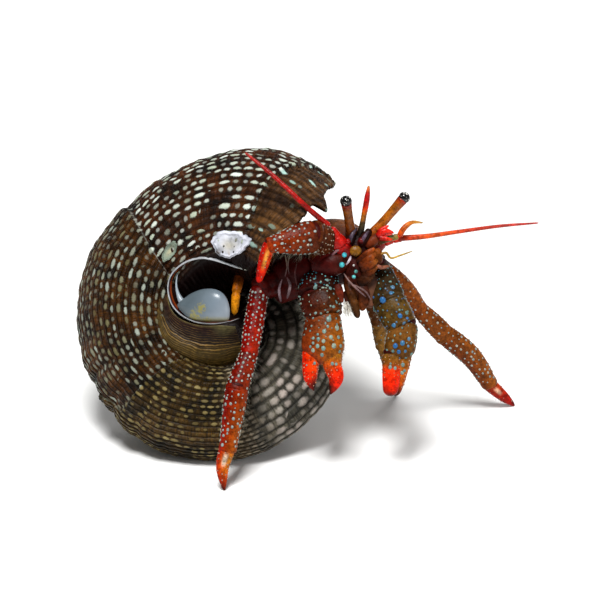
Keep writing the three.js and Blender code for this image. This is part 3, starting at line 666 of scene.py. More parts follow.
ZONE_STEPS = "".join(f"""
    since = Attribute attribute_name=since_rest_{number}
    older = MapRange since.Fac -0.6 0.6 0 1
    zone = zone + older""" for number in (1, 2, 3))
REST_STEPS = "".join(f"""
    since = Attribute attribute_name=since_rest_{number}
    waver = fray * 0.8 + since.Fac
    near = ABSOLUTE waver
    near = MapRange near 0.1 0.6 0.8 0
    near = near * open_side
    near = near * lightness
    colour = Mix RGBA near 6=colour.2 7=#{colour}""" for number, colour in enumerate(REST_LINES.split(), 1))
# A thin line marks each rest. Inside the mouth the shell is smooth and painted nearly black, as painted shade
# for the deep mouth.
# Into the umbilicus the beads fade and the colour turns nearly black, as painted shade for the deep hollow.
# Painted shade: nearly black in the umbilicus.
# Painted shade: the ground darkens towards the groove between two ribs.
# Painted shade: the inner wall and the plug take a near black, and the lip's roll half of it.
# The ground: dark, with light rust and olive patches and thin growth lines, and darker in the grooves as
# painted shade.
SHELL_SKIN = new_finish("periostracum_beaded_worn", f"""
    place = TexCoord
    growth = UVMap uv_map=growth
    split = SeparateXYZ growth
    # Where the growth is old there are half as many ribs.
    coarse = GREATER_THAN split.0 {COARSE}
    fine = coarse * -0.5 + 1
    pitch = coarse * {COARSE_PITCH - 1} + 1
    own_rib = split.1 * fine
    row = FLOOR own_rib
    off_rib = own_rib - row
    off_rib = off_rib - 0.5
    # bead place = back * radius / BEAD * pitch + 3 * fract(0.618 row) + 0.25 sin(9 back + 1.7 row)
    row_turn = row * {2 * math.pi / RIBS} + {math.pi / RIBS}
    row_turn = row_turn / fine
    row_cos = COSINE row_turn
    radius = row_cos * {RING["across"] / BEAD} + {RING["radius"] / BEAD}
    radius = radius * pitch
    golden = row * 0.618
    golden = FLOORED_MODULO golden 1
    bead = split.0 * radius
    bead = golden * 3 + bead
    wave = row * 1.7
    wave = split.0 * 9 + wave
    wave = SINE wave
    bead = wave * 0.25 + bead
    cell = FLOOR bead
    off_bead = bead - cell
    off_bead = off_bead - 0.5
    key = CombineXYZ cell row
    draw = TexWhiteNoise 2D key
    lots = SeparateColor draw.Color
    # The zone: one step up at each rest and one more where the growth is coarse, shown as 0 to 1.
    zone = MapRange split.0 {COARSE - 0.4} {COARSE + 0.15} 0 1
    {ZONE_STEPS}
    zone = zone * 0.25
    # A fleck is an ellipse on its bead, broader on every other rib, with an edge broken by noise.
    fray = TexNoise Vector=place.Object Scale={per(0.2)} Detail=3
    fray = fray * 1.5 + -0.75
    long = MapRange lots.0 - - 0.24 0.48
    other = FLOORED_MODULO row 2
    wide = MapRange other - - 0.27 0.36
    wide = coarse * 0.06 + wide
    a = off_bead / long
    b = off_rib / wide
    a = POWER a 2
    b = POWER b 2
    far = a + b
    far = far + fray
    inner_edge = coarse * -0.35 + 0.35
    outer_edge = coarse * 0.4 + 1.15
    fleck = MapRange SMOOTHSTEP far inner_edge outer_edge 1 0
    # Some beads keep their dark skin: most of them on the newest growth, a few in patches elsewhere.
    patches = TexNoise Vector=place.Object Scale={per(4.0)} Detail=2
    share = MapRange patches 0.33 0.5 0.55 0.97
    worn = MapRange zone 0 0.25 0.22 1
    share = share * worn
    pale = LESS_THAN lots.1 share
    bright = MapRange draw.Value - - 0.25 1
    # Beads are worn away along the old edge where the coarse growth ends.
    off_edge = split.0 - {COARSE}
    off_edge = ABSOLUTE off_edge
    off_edge = MapRange off_edge 0 0.16 0.1 1
    bright = bright * off_edge
    # Into the umbilicus the beads fade and the skin turns nearly black.
    turn_round = split.1 * {2 * math.pi / RIBS}
    turn_cos = COSINE turn_round
    hollow = MapRange turn_cos -0.66 -0.84 0 1
    open_side = MapRange turn_cos -0.66 -0.8 1 0
    shown = fleck * pale
    shown = shown * bright
    shown = shown * open_side
    fleck_pale = ValToRGB zone stops={zone_stops(FLECK_PALE)}
    fleck_deep = ValToRGB zone stops={zone_stops(FLECK_DEEP)}
    fleck_colour = Mix RGBA lots.2 6=fleck_deep 7=fleck_pale
    # The ground: dark, with light rust and olive patches, thin growth lines, and darker in the grooves.
    ground_noise = TexNoise Vector=place.Object Scale={per(2.2)} Detail=5 Roughness=0.65
    lightness = MapRange ground_noise 0.4 0.7 0 1
    ground_dark = ValToRGB zone stops={zone_stops(GROUND_DARK)}
    ground_light = ValToRGB zone stops={zone_stops(GROUND_LIGHT)}
    ground = Mix RGBA lightness 6=ground_dark 7=ground_light
    line_back = split.0 * 75
    line_rib = split.1 * 0.5
    line_place = CombineXYZ line_back line_rib
    growth_line = TexNoise Vector=line_place Scale=1 Detail=3
    line_shade = MapRange growth_line 0.35 0.65 0.5 1.5
    groove = ABSOLUTE off_rib
    groove_shade = MapRange groove 0.3 0.5 1 0.35
    shade = line_shade * groove_shade
    ground = VectorMath SCALE ground.2 Scale=shade
    colour = Mix RGBA shown 6=ground 7=fleck_colour.2
    colour = Mix RGBA hollow 6=colour.2 7=#120605
    # A thin line marks each rest. Inside the mouth the shell is smooth and nearly black.
    {REST_STEPS}
    inner = Attribute attribute_name=inside
    colour = Mix RGBA inner.Fac 6=colour.2 7=#160806
    # The beads stand up between the grooves, with fine scratches and growth lines over them.
    rib_round = MapRange SMOOTHSTEP groove 0.15 0.5 1 0
    height = fleck * 0.8 + rib_round
    height = growth_line * 0.7 + height
    height = height * open_side
    relief = Bump Strength=0.8 Distance=0.00012 Height=height
    scratches = TexNoise Vector=place.Object Scale={per(0.2)} Detail=4
    bump = Bump Strength=0.5 Distance=0.00008 Height=scratches Normal=relief
    shader = Principled Base_Color=colour.2 Normal=bump""", Roughness=0.4, Specular_IOR_Level=0.1)
make_piece("shell_last_whorl", [whorl], SHELL_SKIN, "shell", ["shell"], uv_name="growth", marks=whorl_marks)
make_piece("shell_spire", [spire_form], SHELL_SKIN, "shell", uv_name="growth", marks=spire_marks)
# The plug is painted shade: a near-black cone where the hollow is deep and dark.
core = core_form()
make_piece("shell_core_painted_shade", [core], SHELL_SKIN, "shell", uv_name="growth",
           marks={"inside": np.ones(len(core.points))})

# %% [markdown]
# ## Crusts on the shell
#
# Small flat animals and pink algae leave chalky crusts on an old shell. One lies above the umbilicus
# and one beside it. Each is a thin plate with a ragged raised edge that follows the shell, so it is
# a polar grid laid on the shell's own surface.

# %% Chalky crust
CRUSTS = {  # middle, then the change to the right and upwards, as (degrees back, degrees round the ring)
    "crust_disc": {"middle": [11.8, -134.4], "right": [-18.6, 0.8], "up": [1.6, 15.0], "bow": 4.2,
                   "high": 0.16, "shade": "eceaf2"},
    "crust_oval": {"middle": [66.9, -113.4], "right": [-1.4, -4.9], "up": [-8.2, 1.5], "bow": 0.0,
                   "high": 0.06, "shade": "8a9682"},
}


def crust_form(middle, right, up, bow, high, shade):
    """A closed plate: rings at growing shares of the outline, 1 + 0.05 sin(3a + 1) + 0.04 sin(7a) +
    0.025 sin(17a), lifted by high times 0.7 plus a rim bell, then back to the middle underneath."""
    share = np.concatenate([np.linspace(0.06, 1, 26), [0.97, 0.6, 0.3]])[:, None]
    under = np.concatenate([np.zeros(26), np.ones(3)])[:, None]
    angle = even_turns(96)
    edge = 1 + 0.05 * np.sin(3 * angle + 1) + 0.04 * np.sin(7 * angle) + 0.025 * np.sin(17 * angle + 2)
    across, rise = share * edge * np.cos(angle), share * edge * np.sin(angle)
    back = middle[0] + right[0] * across + up[0] * rise
    round_it = middle[1] + right[1] * across + up[1] * rise + bow * across**2
    rim = 0.9 * np.exp(-(((share - 0.88) / 0.1) ** 2))
    top = high * (0.7 + rim + 0.1 * np.sin(9 * across) * np.cos(7 * rise))
    lift = np.where(under > 0, -0.25, top * (share < 0.999) - 0.04)
    grid = shell_at(-np.radians(back), np.radians(round_it), lift)
    # Cream in the middle, with a dark crescent inside the lower edge.
    cream = np.exp(-((share / 0.45) ** 2)) + 0 * angle
    dark_crescent = np.exp(-(((share - 0.84) / 0.035) ** 2)) * np.clip(0.3 - np.sin(angle + 0.5), 0, 1)
    colour = linear(shade) + (linear("d8c79c") - linear(shade)) * 0.6 * cream[..., None]
    return grid_form(grid, colour * (1 - 0.92 * dark_crescent[..., None]))


CRUST = new_finish("crust_chalky_layered", f"""
    place = TexCoord
    cloud = TexNoise Vector=place.Object Scale={per(1.3)} Detail=5 Roughness=0.6
    chalk = ValToRGB cloud stops=0.28:716962,0.38:b0b5b9,0.5:d7dce0,0.62:e5e9ed,0.75:c6b79e
    tint = Attribute attribute_name=tint
    colour = VectorMath MULTIPLY tint.Color chalk
    grain = TexNoise Vector=place.Object Scale={per(0.25)} Detail=4
    bump = Bump Strength=0.4 Distance=0.00006 Height=grain
    shader = Principled Base_Color=colour Normal=bump""", Roughness=0.55, Specular_IOR_Level=0.2)
for name, shape in CRUSTS.items():
    make_piece(name, [crust_form(**shape)], CRUST, "shell")

# %% [markdown]
# ## The umbilicus: a frame that leans with it
#
# The hollow in the base faces forwards and up, so its parts are placed in a frame that leans back
# by 25 degrees: across, up the slope, and out of the hollow, in millimetres.

# %% The leaning frame
LEAN = math.radians(25)
ACROSS = np.array([1.0, 0.0, 0.0])
SLOPE = np.array([0.0, math.sin(LEAN), math.cos(LEAN)])
OUT = np.array([0.0, -math.cos(LEAN), math.sin(LEAN)])
LEAN_MIDDLE = np.array([0.0, 0.0, 13.7])


def leaning(places):
    """Middle + across * first + slope * second + out * third."""
    places = np.asarray(places, float)
    return (LEAN_MIDDLE + places[..., :1] * ACROSS + places[..., 1:2] * SLOPE + places[..., 2:] * OUT)

# %% [markdown]
# ## The rim of the umbilicus
#
# The inner lip turns outwards into a thin silver edge round the hollow. Below the edge its wall
# shows bands of black-purple, red-brown and orange, where one layer of shell ends on the next. It is
# a strip carried along the rim, whose section goes over the edge, down the wall and back behind it.

# %% Build the rim
RIM = numbers("""-3.6 2.3 1.3, -5.1 2.64 0.8, -6.6 3.1 0.3, -8.3 3.5 -0.2, -9.8 3.1 -0.5, -10.9 2.2 -0.7,
    -11.25 1 -0.8, -11 -0.2 -0.7, -10.2 -1.2 -0.4, -9 -1.8 0.2, -7.5 -2 0.8, -6 -1.8 1.2""")
HOLLOW_MIDDLE = [-8.3, 0.9, 0.0]
RIM_DEPTH = [0.85, 0.3, -1.1]  # how the wall runs in: across, up the slope and inwards
RIM_THICK = 0.17
# From the silver edge down the wall: the shell's own bands, then the last two stops, deep in the hollow,
# darken to nearly black as painted shade.
RIM_STOPS = "a6a9ac 7c7c80 251319 230f12 5a2010 74290f 9a4612 421809 190806"


def rim_form():
    """Rim + wall * s on the way in, and the same plus outward * thickness on the way back, where s
    runs from 0 to 1 and back again; the edge is rounded by a small bell of height."""
    along = np.linspace(0, 1, 150)[:, None]
    ring = np.arange(40)[None, :] / 40
    depth = 1 - np.abs(2 * ring - 1)
    outside = (ring > 0.5) * 1.0
    edge = smooth(RIM, along)
    away = edge - np.array(HOLLOW_MIDDLE)
    away[..., 2] = 0
    away = unit(away)
    width = RIM_THICK * np.sin(np.clip(along, 0.02, 0.98) * math.pi) ** 0.3
    wave = 0.012 * np.sin(along * 40) * (1 - depth)
    place = edge + depth[..., None] * np.array(RIM_DEPTH)
    place = place + away * (outside * width * np.minimum(1, depth * 12) + wave)[..., None]
    place[..., 2] = place[..., 2] + 0.12 * np.exp(-((depth / 0.04) ** 2)) * (1 - 0.5 * outside)
    grid = leaning(place)
    shade = blend_of(RIM_STOPS, np.minimum(1, depth * 2.6) * (1 - 0.85 * outside)) + 0 * along[..., None]
    # The end next to the mouth is stained yellow-green.
    stained = np.clip(1 - along / 0.12, 0, 1)[..., None] * (depth < 0.2)[..., None]
    shade = shade + (linear("8a8440") - shade) * 0.8 * stained
    return grid_form(grid, shade)


NACRE = new_finish("nacre_edge_layered", f"""{clouded(0.5, 4, 0.7, 1.3)}
    bump = Bump Strength=0.3 Distance=0.00008 Height=cloud
    shader = Principled Base_Color=colour Normal=bump""", Roughness=0.35, Specular_IOR_Level=0.35)
make_piece("umbilicus_rim", [rim_form()], NACRE, "shell")

# %% [markdown]
# ## The porcelain lobe
#
# Next to the mouth the shell thickens into a smooth bluish porcelain lobe that curls over the
# hollow and sends a thin arm up its left wall. It is a pillow over a free outline: each point of
# the outline is drawn in towards the middle, while the skin rises by a quarter circle.

# %% Build the lobe
LOBE_OUTLINE = numbers("""-10.3 -0.2, -9.8 0.2, -9.2 0.6, -8.3 0.92, -7.4 0.95, -6.7 0.7, -6.25 0.2, -6 -0.5,
    -5.95 -1.2, -6.15 -1.85, -7.2 -1.9, -8.4 -1.85, -9.4 -1.6, -10.1 -1, -10.45 -0.5""")
LOBE_MIDDLE = [-7.7, -0.6]
LOBE_RISE = 0.75
LOBE_ARM = numbers("-10.45 2.3 -1.1, -10.55 1.3 -0.9, -10.35 0.4 -0.75, -9.9 -0.3 -0.65, -9 -0.8 -0.75")


def pillow_form(outline, middle, edge_out, rise, thick, tint):
    """A closed pillow: middle + (outline - middle) * share, where share runs from 0 at the front to 1
    at the edge and back to 0 behind. The front stands out by edge_out + rise * sqrt(1 - share^2.2),
    and the back lies thick behind the edge in the same way."""
    ring = np.vstack([outline, outline[:1]])
    even = np.arange(90) / 90
    wrapped = np.vstack([ring[-3:-1], ring, ring[1:3]])
    count = len(wrapped) - 1
    rim = smooth(wrapped, (2 + even * (len(ring) - 1)) / count)
    swing = np.linspace(0.03, math.pi - 0.03, 44)[:, None]
    share = np.sin(swing)
    flat = np.asarray(middle) + (rim[None] - np.asarray(middle)) * share[..., None]
    front = swing < math.pi / 2
    bulge = np.sqrt(np.maximum(0, 1 - share**2.2))
    out = edge_out(flat[..., 0], flat[..., 1]) + np.where(front, rise * bulge, -thick * bulge)
    grid = leaning(np.concatenate([flat, out[..., None]], -1))
    return grid_form(grid, tint(flat[..., 0], flat[..., 1]))


def lobe_edge(across, rise):
    """The lobe's rim lies 0.1 mm out, and nearer the mouth it comes out by 0.28 mm for each one across."""
    return 0.1 + 0.28 * (across + 8) + 0 * rise


def lobe_tint(across, rise):
    """Bluish grey porcelain, whiter along its outer edge and to the right as painted light, with a
    yellowish foot.
    """
    # Painted light: the share grows to the right and downwards, towards the lighter stops.
    share = np.clip(0.25 + 0.16 * (across + 8) - 0.12 * (rise + 0.5), 0, 1)
    foot = np.clip((-1.35 - rise) / 0.35, 0, 1)[..., None]
    body = blend_of("4d585e 6a7680 878f98 a4a6b6", share)
    return body + (linear("8c865a") - body) * 0.75 * foot


# Where algae stain the lobe: middle and reach in mm.
STAINS = [([-8.5, -0.7, 0.9], 1.0), ([-9.0, -1.4, 0.3], 1.1), ([-7.9, -1.9, 0.4], 0.9)]


def lean_words(place):
    """A place of the leaning frame, in metres, as a word for a step."""
    return ",".join(str(float(part)) for part in to_metres(leaning(place)))


STAIN_STEPS = "".join(f"""
    stain = VectorMath DISTANCE place.Object {lean_words(middle)}
    stain = MapRange stain.Value {0.2 * reach * MM} {reach * MM} 0.6 0
    algae = MAXIMUM stain {"algae" if number else 0}""" for number, (middle, reach) in enumerate(STAINS))
CALLUS = new_finish("aragonite_callus_glazed", f"""{clouded(1.6, 2, 0.85, 1.12)}
    # Green-gold algae speckle the foot of the lobe, thicker near a stain's middle.
    {STAIN_STEPS}
    speck = TexNoise Vector=place.Object Scale={per(0.22)} Detail=4
    algae = speck + algae
    algae = MapRange algae 0.84 1.08 0 0.85
    colour = Mix RGBA algae 6=colour 7=#847d42
    bump = Bump Strength=0.3 Distance=0.0001 Height=algae
    shader = Principled Base_Color=colour.2 Normal=bump""", Roughness=0.25, Specular_IOR_Level=0.3)
lobe = pillow_form(LOBE_OUTLINE, LOBE_MIDDLE, lobe_edge, LOBE_RISE, 1.4, lobe_tint)
lobe_arm = tube_form(leaning(LOBE_ARM), [0.05, 0.08, 0.17, 0.36, 0.5], "869097", rows=50, sides=20, thin=OUT)
make_piece("shell_lobe", [lobe, lobe_arm], CALLUS, "porcelain", ["shell_inner_lip"])

# %% [markdown]
# ## The slope under the lobe
#
# Between the hollow and the beaded base lies a smooth slope, crossed by fine golden growth lines that
# run round the umbilicus. It is stretched between two curves, one under the rim and one on the base,
# and bulges a little between them.

# %% Build the slope
SLOPE_TOP = numbers("""-11.3 0.5 -1, -10.95 -0.75 -0.8, -10.1 -1.6 -0.3, -8.5 -2.1 0.5, -6.6 -2.1 1.1,
    -5.5 -2.2 1""")
SLOPE_FOOT = numbers("""-12.4 0.4 -1.7, -12.7 -2 -1.8, -11.8 -4.2 -1.8, -9.3 -5.8 -2, -6.8 -6.2 -2.6,
    -4.6 -5.4 -3.6""")


def slope_form():
    """Top + (foot - top) * q - out * 0.38 sin(2 pi q), hollow above and full below, for q from 0 to 1
    over the front and back again 1.3 mm behind, with a fine ripple where the growth lines run."""
    along = np.linspace(0, 1, 120)[:, None]
    ring = (np.arange(72)[None, :] + 0.5) / 72
    q = 1 - np.abs(2 * ring - 1)
    behind = np.where(ring > 0.5, 1.0, 0.0)
    top, foot = smooth(SLOPE_TOP, along), smooth(SLOPE_FOOT, along)
    place = top + (foot - top) * q[..., None]
    ends = np.sin(np.clip(along, 0.01, 0.99) * math.pi) ** 0.4
    ripple = 0.03 * np.sin(q * 75 + 3 * np.sin(along * 5)) * (q > 0.3) * (q < 0.75)
    bulge = (0.12 * np.sin(math.pi * q) - 0.38 * np.sin(2 * math.pi * q) + ripple) * ends
    place[..., 2] = place[..., 2] + np.where(behind > 0, -1.3 * np.sin(math.pi * q) * ends - 0.05, bulge)
    grid = leaning(place)
    form = grid_form(grid, linear("39250f"))
    form.quad_uv = face_corners(np.stack([along + 0 * q, q + 0 * along], -1))
    return form


SLOPE_STOPS = "0:5d532f,0.07:2a1615,0.25:1b0f0e,0.45:1e1408,0.58:392c10,0.75:3c2d0e,1:1a120a"
ARC_STEPS = "".join(f"""
    off = shifted - {middle}
    off = ABSOLUTE off
    arc = MapRange off 0.003 0.02 0.6 0
    arcs = MAXIMUM arc arcs""" for middle in (0.44, 0.53))
STRIATED = new_finish("umbilicus_slope_striated", f"""
    surface = UVMap uv_map=surface
    place = TexCoord
    split = SeparateXYZ surface
    waver = TexNoise Vector=place.Object Scale={per(1.6)} Detail=3
    shifted = waver * 0.16 + split.1
    shifted = shifted - 0.08
    # From the rim down: purple-brown, then dark, then olive and gold where it meets the beads.
    base = ValToRGB shifted stops={SLOPE_STOPS}
    # Golden arcs at two places down the slope, broken by noise, among fainter ones.
    fine = shifted * 120
    fine = SINE fine
    broken = TexNoise Vector=place.Object Scale={per(0.9)} Detail=3
    fine = fine * broken
    arcs = MapRange fine 0.3 0.55 0 0.35
    {ARC_STEPS}
    colour = Mix RGBA arcs 6=base 7=#8c6c34
    # Grey-green chalk gathers under the lobe's right end.
    chalk = VectorMath DISTANCE place.Object {lean_words([-6.4, -2.6, 1.0])}
    chalk = MapRange chalk.Value 0.0002 0.0014 0.8 0
    colour = Mix RGBA chalk 6=colour.2 7=#645f3d
    grain = TexNoise Vector=place.Object Scale={per(0.35)} Detail=5
    shade = MapRange grain 0.3 0.7 0.6 1.4
    colour = VectorMath SCALE colour.2 Scale=shade
    height = arcs + grain
    bump = Bump Strength=0.5 Distance=0.0001 Height=height
    shader = Principled Base_Color=colour Normal=bump""", Roughness=0.42, Specular_IOR_Level=0.12)
make_piece("shell_pillar_slope", [slope_form()], STRIATED, "shell", ["shell_pillar"])

# %% [markdown]
# ## The tip of the spire
#
# The first whorl of all is worn to a chalky knob, which closes the tip.

# %% Build the knob
nucleus = ball_form(FOOT + AXIS * (HEIGHT - 1.45), (0.72, 1.05, 1.05), (AXIS, SIDE, UP), "5c4c3a", 24, 40)
make_piece("shell_tip_knob", [nucleus], CRUST, "shell")

# %% [markdown]
# ## Flesh: one soft skin
#
# Behind the hard shield the crab is soft: the sides of the thorax are dark red skin, and the curled
# abdomen fills the last half turn of the shell. Between any two plates of a limb there is a fold of
# the same skin. All of it is one piece, so that no gap shows black between the plates.

# %% Soft skin
MOIST_SKIN = new_finish("arthrodial_skin_moist", f"""{clouded(0.6, 4, 0.5, 1.2)}
    fold = TexNoise Vector=place.Object Scale={per(0.3)} Detail=3
    bump = Bump Strength=0.4 Distance=0.00012 Height=fold
    shader = Principled Base_Color=colour Normal=bump""", Roughness=0.42, Specular_IOR_Level=0.08)


def in_tube(back_degrees, across=0.0, along=0.0):
    """The middle of the shell's tube at an angle back from the mouth, moved away from the axis by
    across and towards the apex by along, both in mm at the mouth's size."""
    size = GROWTH ** (-back_degrees / 360)
    angle = LIP_ANGLE + math.radians(back_degrees)
    out = size * (RING["radius"] + across)
    up = HEIGHT - size * (HEIGHT - RING["height"] - along)
    return FOOT + out * math.cos(angle) * SIDE + out * math.sin(angle) * UP + up * AXIS


# Dark maroon at the thorax, pinkish brown along the hidden abdomen.
THORAX = numbers("4.3 0.9 16.3, 3.2 2.4 16, 1.6 4.2 15.8, -0.8 6 15.5")
body_line = [*THORAX, *(in_tube(back) for back in (25, 50, 80, 110, 140, 165))]
BODY_GIRTHS = [1.7, 2.3, 2.7, 2.8, 3.0, 3.3, 3.1, 2.9, 2.5, 1.1]
t, turn = stations(110, 48)
wrinkles = 0.07 * np.sin(t * 150 + 1.5 * np.sin(turn * 3)) * np.clip(t * 6, 0, 1) - 0.05
soft_body = tube_form(body_line, BODY_GIRTHS, "2c0303 3a0805 5a1a10 8c4a38 8c4a38", rows=110, sides=48,
                      flat=0.94, relief=wrinkles)

# %% [markdown]
# ## The plates of the limbs
#
# A crab's leg is a chain of hard tubes: coxa, merus, carpus, propodus and dactyl. Each tube starts
# narrow, where it turns inside the one before, and ends in a raised collar. The tables below give
# the joints of each limb and the half widths of its plates, the same as the solids have.

# %% Joints and girths of the limbs
JOINTS = {limb: numbers(text) for limb, text in {
    "claw_right": "2.6 1.7 16.5, 1.9 1 16.2, 1.5 -1.9 14.9, 2.1 -3.3 13.5",
    "claw_left": "6 1.4 16.4, 6.7 0.8 16.1, 7.6 -2 14.3, 8.7 -3.3 12.7",
    "leg2_right": "0 2.2 15.3, -3.4 -0.5 15, -4.3 -4.2 10.6, -5.3 -6.1 8.3, -6.1 -7.8 3.4, -6.4 -8.7 0",
    "leg2_left": "5.6 2.2 16.4, 6.6 2.3 15.9, 10.4 4.1 10.8, 12.6 5 8, 16.7 6.5 2.45, 19 7.2 0",
    "leg3_right": "1.8 2.6 16.9, 2.6 0.3 18.9, 1.1 -1.3 20.2, -2.6 -2.7 20, -3.5 -3.2 16.8",
    "leg3_left": "4.8 3 15.3, 5.7 3.3 14.2, 6.8 4.9 9.3, 7.3 5.9 6.6, 8 7.7 3.2, 8.5 9.1 0",
}.items()}
CLAW_GIRTHS = {"coxa": [1.2, 1.4, 1.3], "merus": [1.3, 1.5, 1.72, 1.68], "carpus": [1.6, 1.74, 1.72, 1.5]}
CLAW_SCALE = {"right": 1.0, "left": 0.82}
BOWS = {("leg2_left", "merus"): [0.3, 0, 0.2], ("leg2_left", "propodus"): [0.35, 0, 0.3],
        ("leg2_right", "dactyl"): [-0.3, 0, 0.1]}
NEST = 0.3  # how far a plate reaches into the next one


def segment_line(limb, number, part):
    """The two joints of a segment, each moved on into the next plate so that no gap shows, with a
    middle point pushed off the straight line if the segment is bowed."""
    a, b = JOINTS[limb][number:number + 2]
    nest = NEST * unit(b - a)
    a, b = a - nest, b + nest * (number + 2 < len(JOINTS[limb]))
    if (limb, part) not in BOWS:
        return [a, b]
    return [a, (a + b) / 2 + BOWS[limb, part], b]


def plate_at(plate, t, turn):
    """A point of a plate: its tube, with a collar before the far end, a groove behind the collar, a
    narrow root, and low lengthwise ridges."""
    t, turn = np.asarray(t, float), np.asarray(turn, float)
    girth = np.mean(plate["girths"])
    collar = 0.03 * np.exp(-(((t - 0.93) / 0.035) ** 2)) - 0.03 * np.exp(-(((t - 0.85) / 0.025) ** 2))
    root = -0.05 * np.exp(-((t / 0.09) ** 2))
    ridges = 0.02 * np.cos(5 * turn + plate["seed"]) * np.sin(math.pi * t)
    relief = girth * (plate.get("collar", 1) * collar + root + ridges) - 0.03
    return tube_at(plate["line"], plate["girths"], t, turn, flat=plate["flat"], relief=relief,
                   corner=plate.get("corner", 2.2), ends=plate.get("ends", (0.07, 0.05)))


def plate_normal(plate, t, turn):
    """The direction square to a plate's skin and the direction along it, from small steps both ways."""
    step = 0.01
    along = plate_at(plate, t + step, turn) - plate_at(plate, t - step, turn)
    round_it = plate_at(plate, t, turn + step) - plate_at(plate, t, turn - step)
    normal = unit(np.cross(along, round_it))
    out = plate_at(plate, t, turn) - line_at(plate["line"], t)
    normal = normal * np.sign(np.einsum("ij,ij->i", normal, out))[:, None]
    return normal, unit(along)


def plate_form(plate):
    """The closed form of a plate."""
    t, turn = stations(64, 56)
    tint = plate_tint(plate["tints"], t, turn)
    return grid_form(plate_at(plate, t, turn), tint, line_at(plate["line"], [0, 1]))

# %% [markdown]
# ## Lacquered chitin
#
# The plates are chitin hardened with lime: glassy on top, with pigment blotches below and tiny pits.
# The main colour comes with each plate as a tint that runs along it, and the finish only adds what
# all plates share. A single colour for each plate would look like painted plastic.

# %% Chitin plates
def chitin_finish(name, roughness, gloss):
    """The tint, blotched every 0.5 mm and pitted every 0.2 mm, each pit a little darker."""
    return new_finish(name, f"""{clouded(0.5, 5, 0.33, 0.93, 0.36, 0.64, 0.65)}
    pits = TexVoronoi Vector=place.Object Scale={per(0.2)}
    pit = MapRange pits.Distance 0.1 0.45 0.55 1.08
    colour = VectorMath SCALE colour Scale=pit
    bump = Bump Strength=0.3 Distance=0.00006 Height=pits.Distance
    wide = Bump Strength=0.3 Distance=0.00012 Height=cloud Normal=bump
    shader = Principled Base_Color=colour Normal=wide""", Roughness=roughness, Specular_IOR_Level=gloss)


CHITIN = chitin_finish("chitin_plate_lacquered", 0.34, 0.06)


def plate_tint(tints, t, turn):
    """Colours along the plate, a second set on its -X side, and a pale streak, given as from, to and
    colour, on the side that faces the viewer."""
    stops, far_stops, streak = (*tints, "", "")[:3]
    colour = blend_of(stops, t) + 0 * turn[..., None]
    if far_stops:
        face = np.clip(0.5 - 0.8 * np.cos(turn), 0, 1)
        colour = colour + (blend_of(far_stops, t) - colour) * face[..., None]
    if streak:
        start, end, shade = streak.split()
        start, end = float(start), float(end)
        off = np.angle(np.exp(1j * (turn - math.radians(-80))))
        mask = np.exp(-((off / 0.32) ** 4)) * np.exp(-(((t - (start + end) / 2) / (end - start) * 2) ** 4))
        colour = colour + (linear(shade) - colour) * mask[..., None]
    return colour

# %% The girths and colours of every plate
# Leg and plate | half widths | colours | colours of the -X side | pale streak, if there are any.
LEG_PLATES = """
leg2_right coxa | 1.4 1.25 1 | 2c0303 4a0a06
leg2_right merus | 0.8 0.85 0.85 0.72 | 5e0802 8e1602 a22206 | 4c0401 7c0601 8a0801
leg2_right carpus | 0.75 0.92 1 | 7c1804 8c2c0a | 600802 721002
leg2_right propodus | 1.05 0.98 0.85 0.76 | 8a2806 9c440c a8500e | 7c0c02 8e1203 9a1c04
leg2_right dactyl | 0.74 0.64 0.46 0.14 | b8480a e08a22 e0700e d04208 5a1206 |
    a01c04 c42c06 d03a06 b82806 400c06 | 0.14 0.42 ecd0b4
leg2_left coxa | 1.2 1.2 1 | 2c0303 4a0a06
leg2_left merus | 0.85 0.85 0.8 0.7 | 8a3808 a45414 94480e | 7a3a0a 8a400e
leg2_left carpus | 0.75 0.9 0.95 | 7e3c0c 904c14
leg2_left propodus | 0.95 0.98 0.88 0.72 | 844414 985218 a05414 | 783408 843a08
leg2_left dactyl | 0.66 0.6 0.46 0.16 | b0480e cc3c10 c82404 b41004 5a0a06 | 982004 b00c04 |
    0.18 0.42 e0b090
leg3_right merus | 1.1 1.3 1.2 | 2e0a05 4a2010
leg3_right carpus | 1.1 1.35 1.4 | 4a220e 5c2a10
leg3_right propodus | 1.4 1.35 0.95 0.6 | 5c2810 6e2c10 8a3008 b03808 | 66240c 8a2c08
leg3_right dactyl | 0.55 0.55 0.46 0.28 | d8400c e0380a e02808 d01804 | c01004 c80c02 | 0.15 0.62 f0a040
leg3_left coxa | 1.2 1.2 1 | 2c0303 3a0a05
leg3_left merus | 0.8 0.8 0.75 0.65 | 4a1a08 6a3c12
leg3_left carpus | 0.65 0.72 0.75 | 8a5c20 b07e38
leg3_left propodus | 0.7 0.62 0.58 0.5 | a87430 8a5418
leg3_left dactyl | 0.5 0.45 0.36 0.14 | 8a4010 9a3008 6a1404 30100a
"""
# Claw and plate | colours | colours of the -X side, if there are any.
CLAW_TINTS = """
right coxa | 280304 3c0806
right merus | 200906 260c07 2c1208 | 300806 380c08
right carpus | 38180a 4a220a 64300e | 380e08 4c1808
right hand | 7a3a12 8e4a16 9c5614 a85e14 9c5412 | 5a2008 6c280a 80300c a02c08
right fixed | b06014 c05a10 ee4c0a ff4806 f83404 b02808 2a120c 1c0c08 |
    a02404 f02804 ff2604 ff2404 fc2404 c82008 3a140c
right finger | a06414 a86818 c86018 ff3008 ff2804 ff2404 d02408 3a140a |
    8a5210 a05c14 d84c10 ff2c04 e02404 4a140a 240e0a
left coxa | 280304 3c0806
left merus | 2a1a0c 342410 3e2c12
left carpus | 4a3614 5c4218 66461a
left hand | 6a4416 74481a 744818 6a4416 7a4818
left fixed | 7c4c18 84521a 9c5818 c8681a d8600e c8500e 8a2c0c 3a1a12
left finger | 70481a 7c5018 94501a ff3810 ff2c08 ff2808 d82408 4a1a10
"""

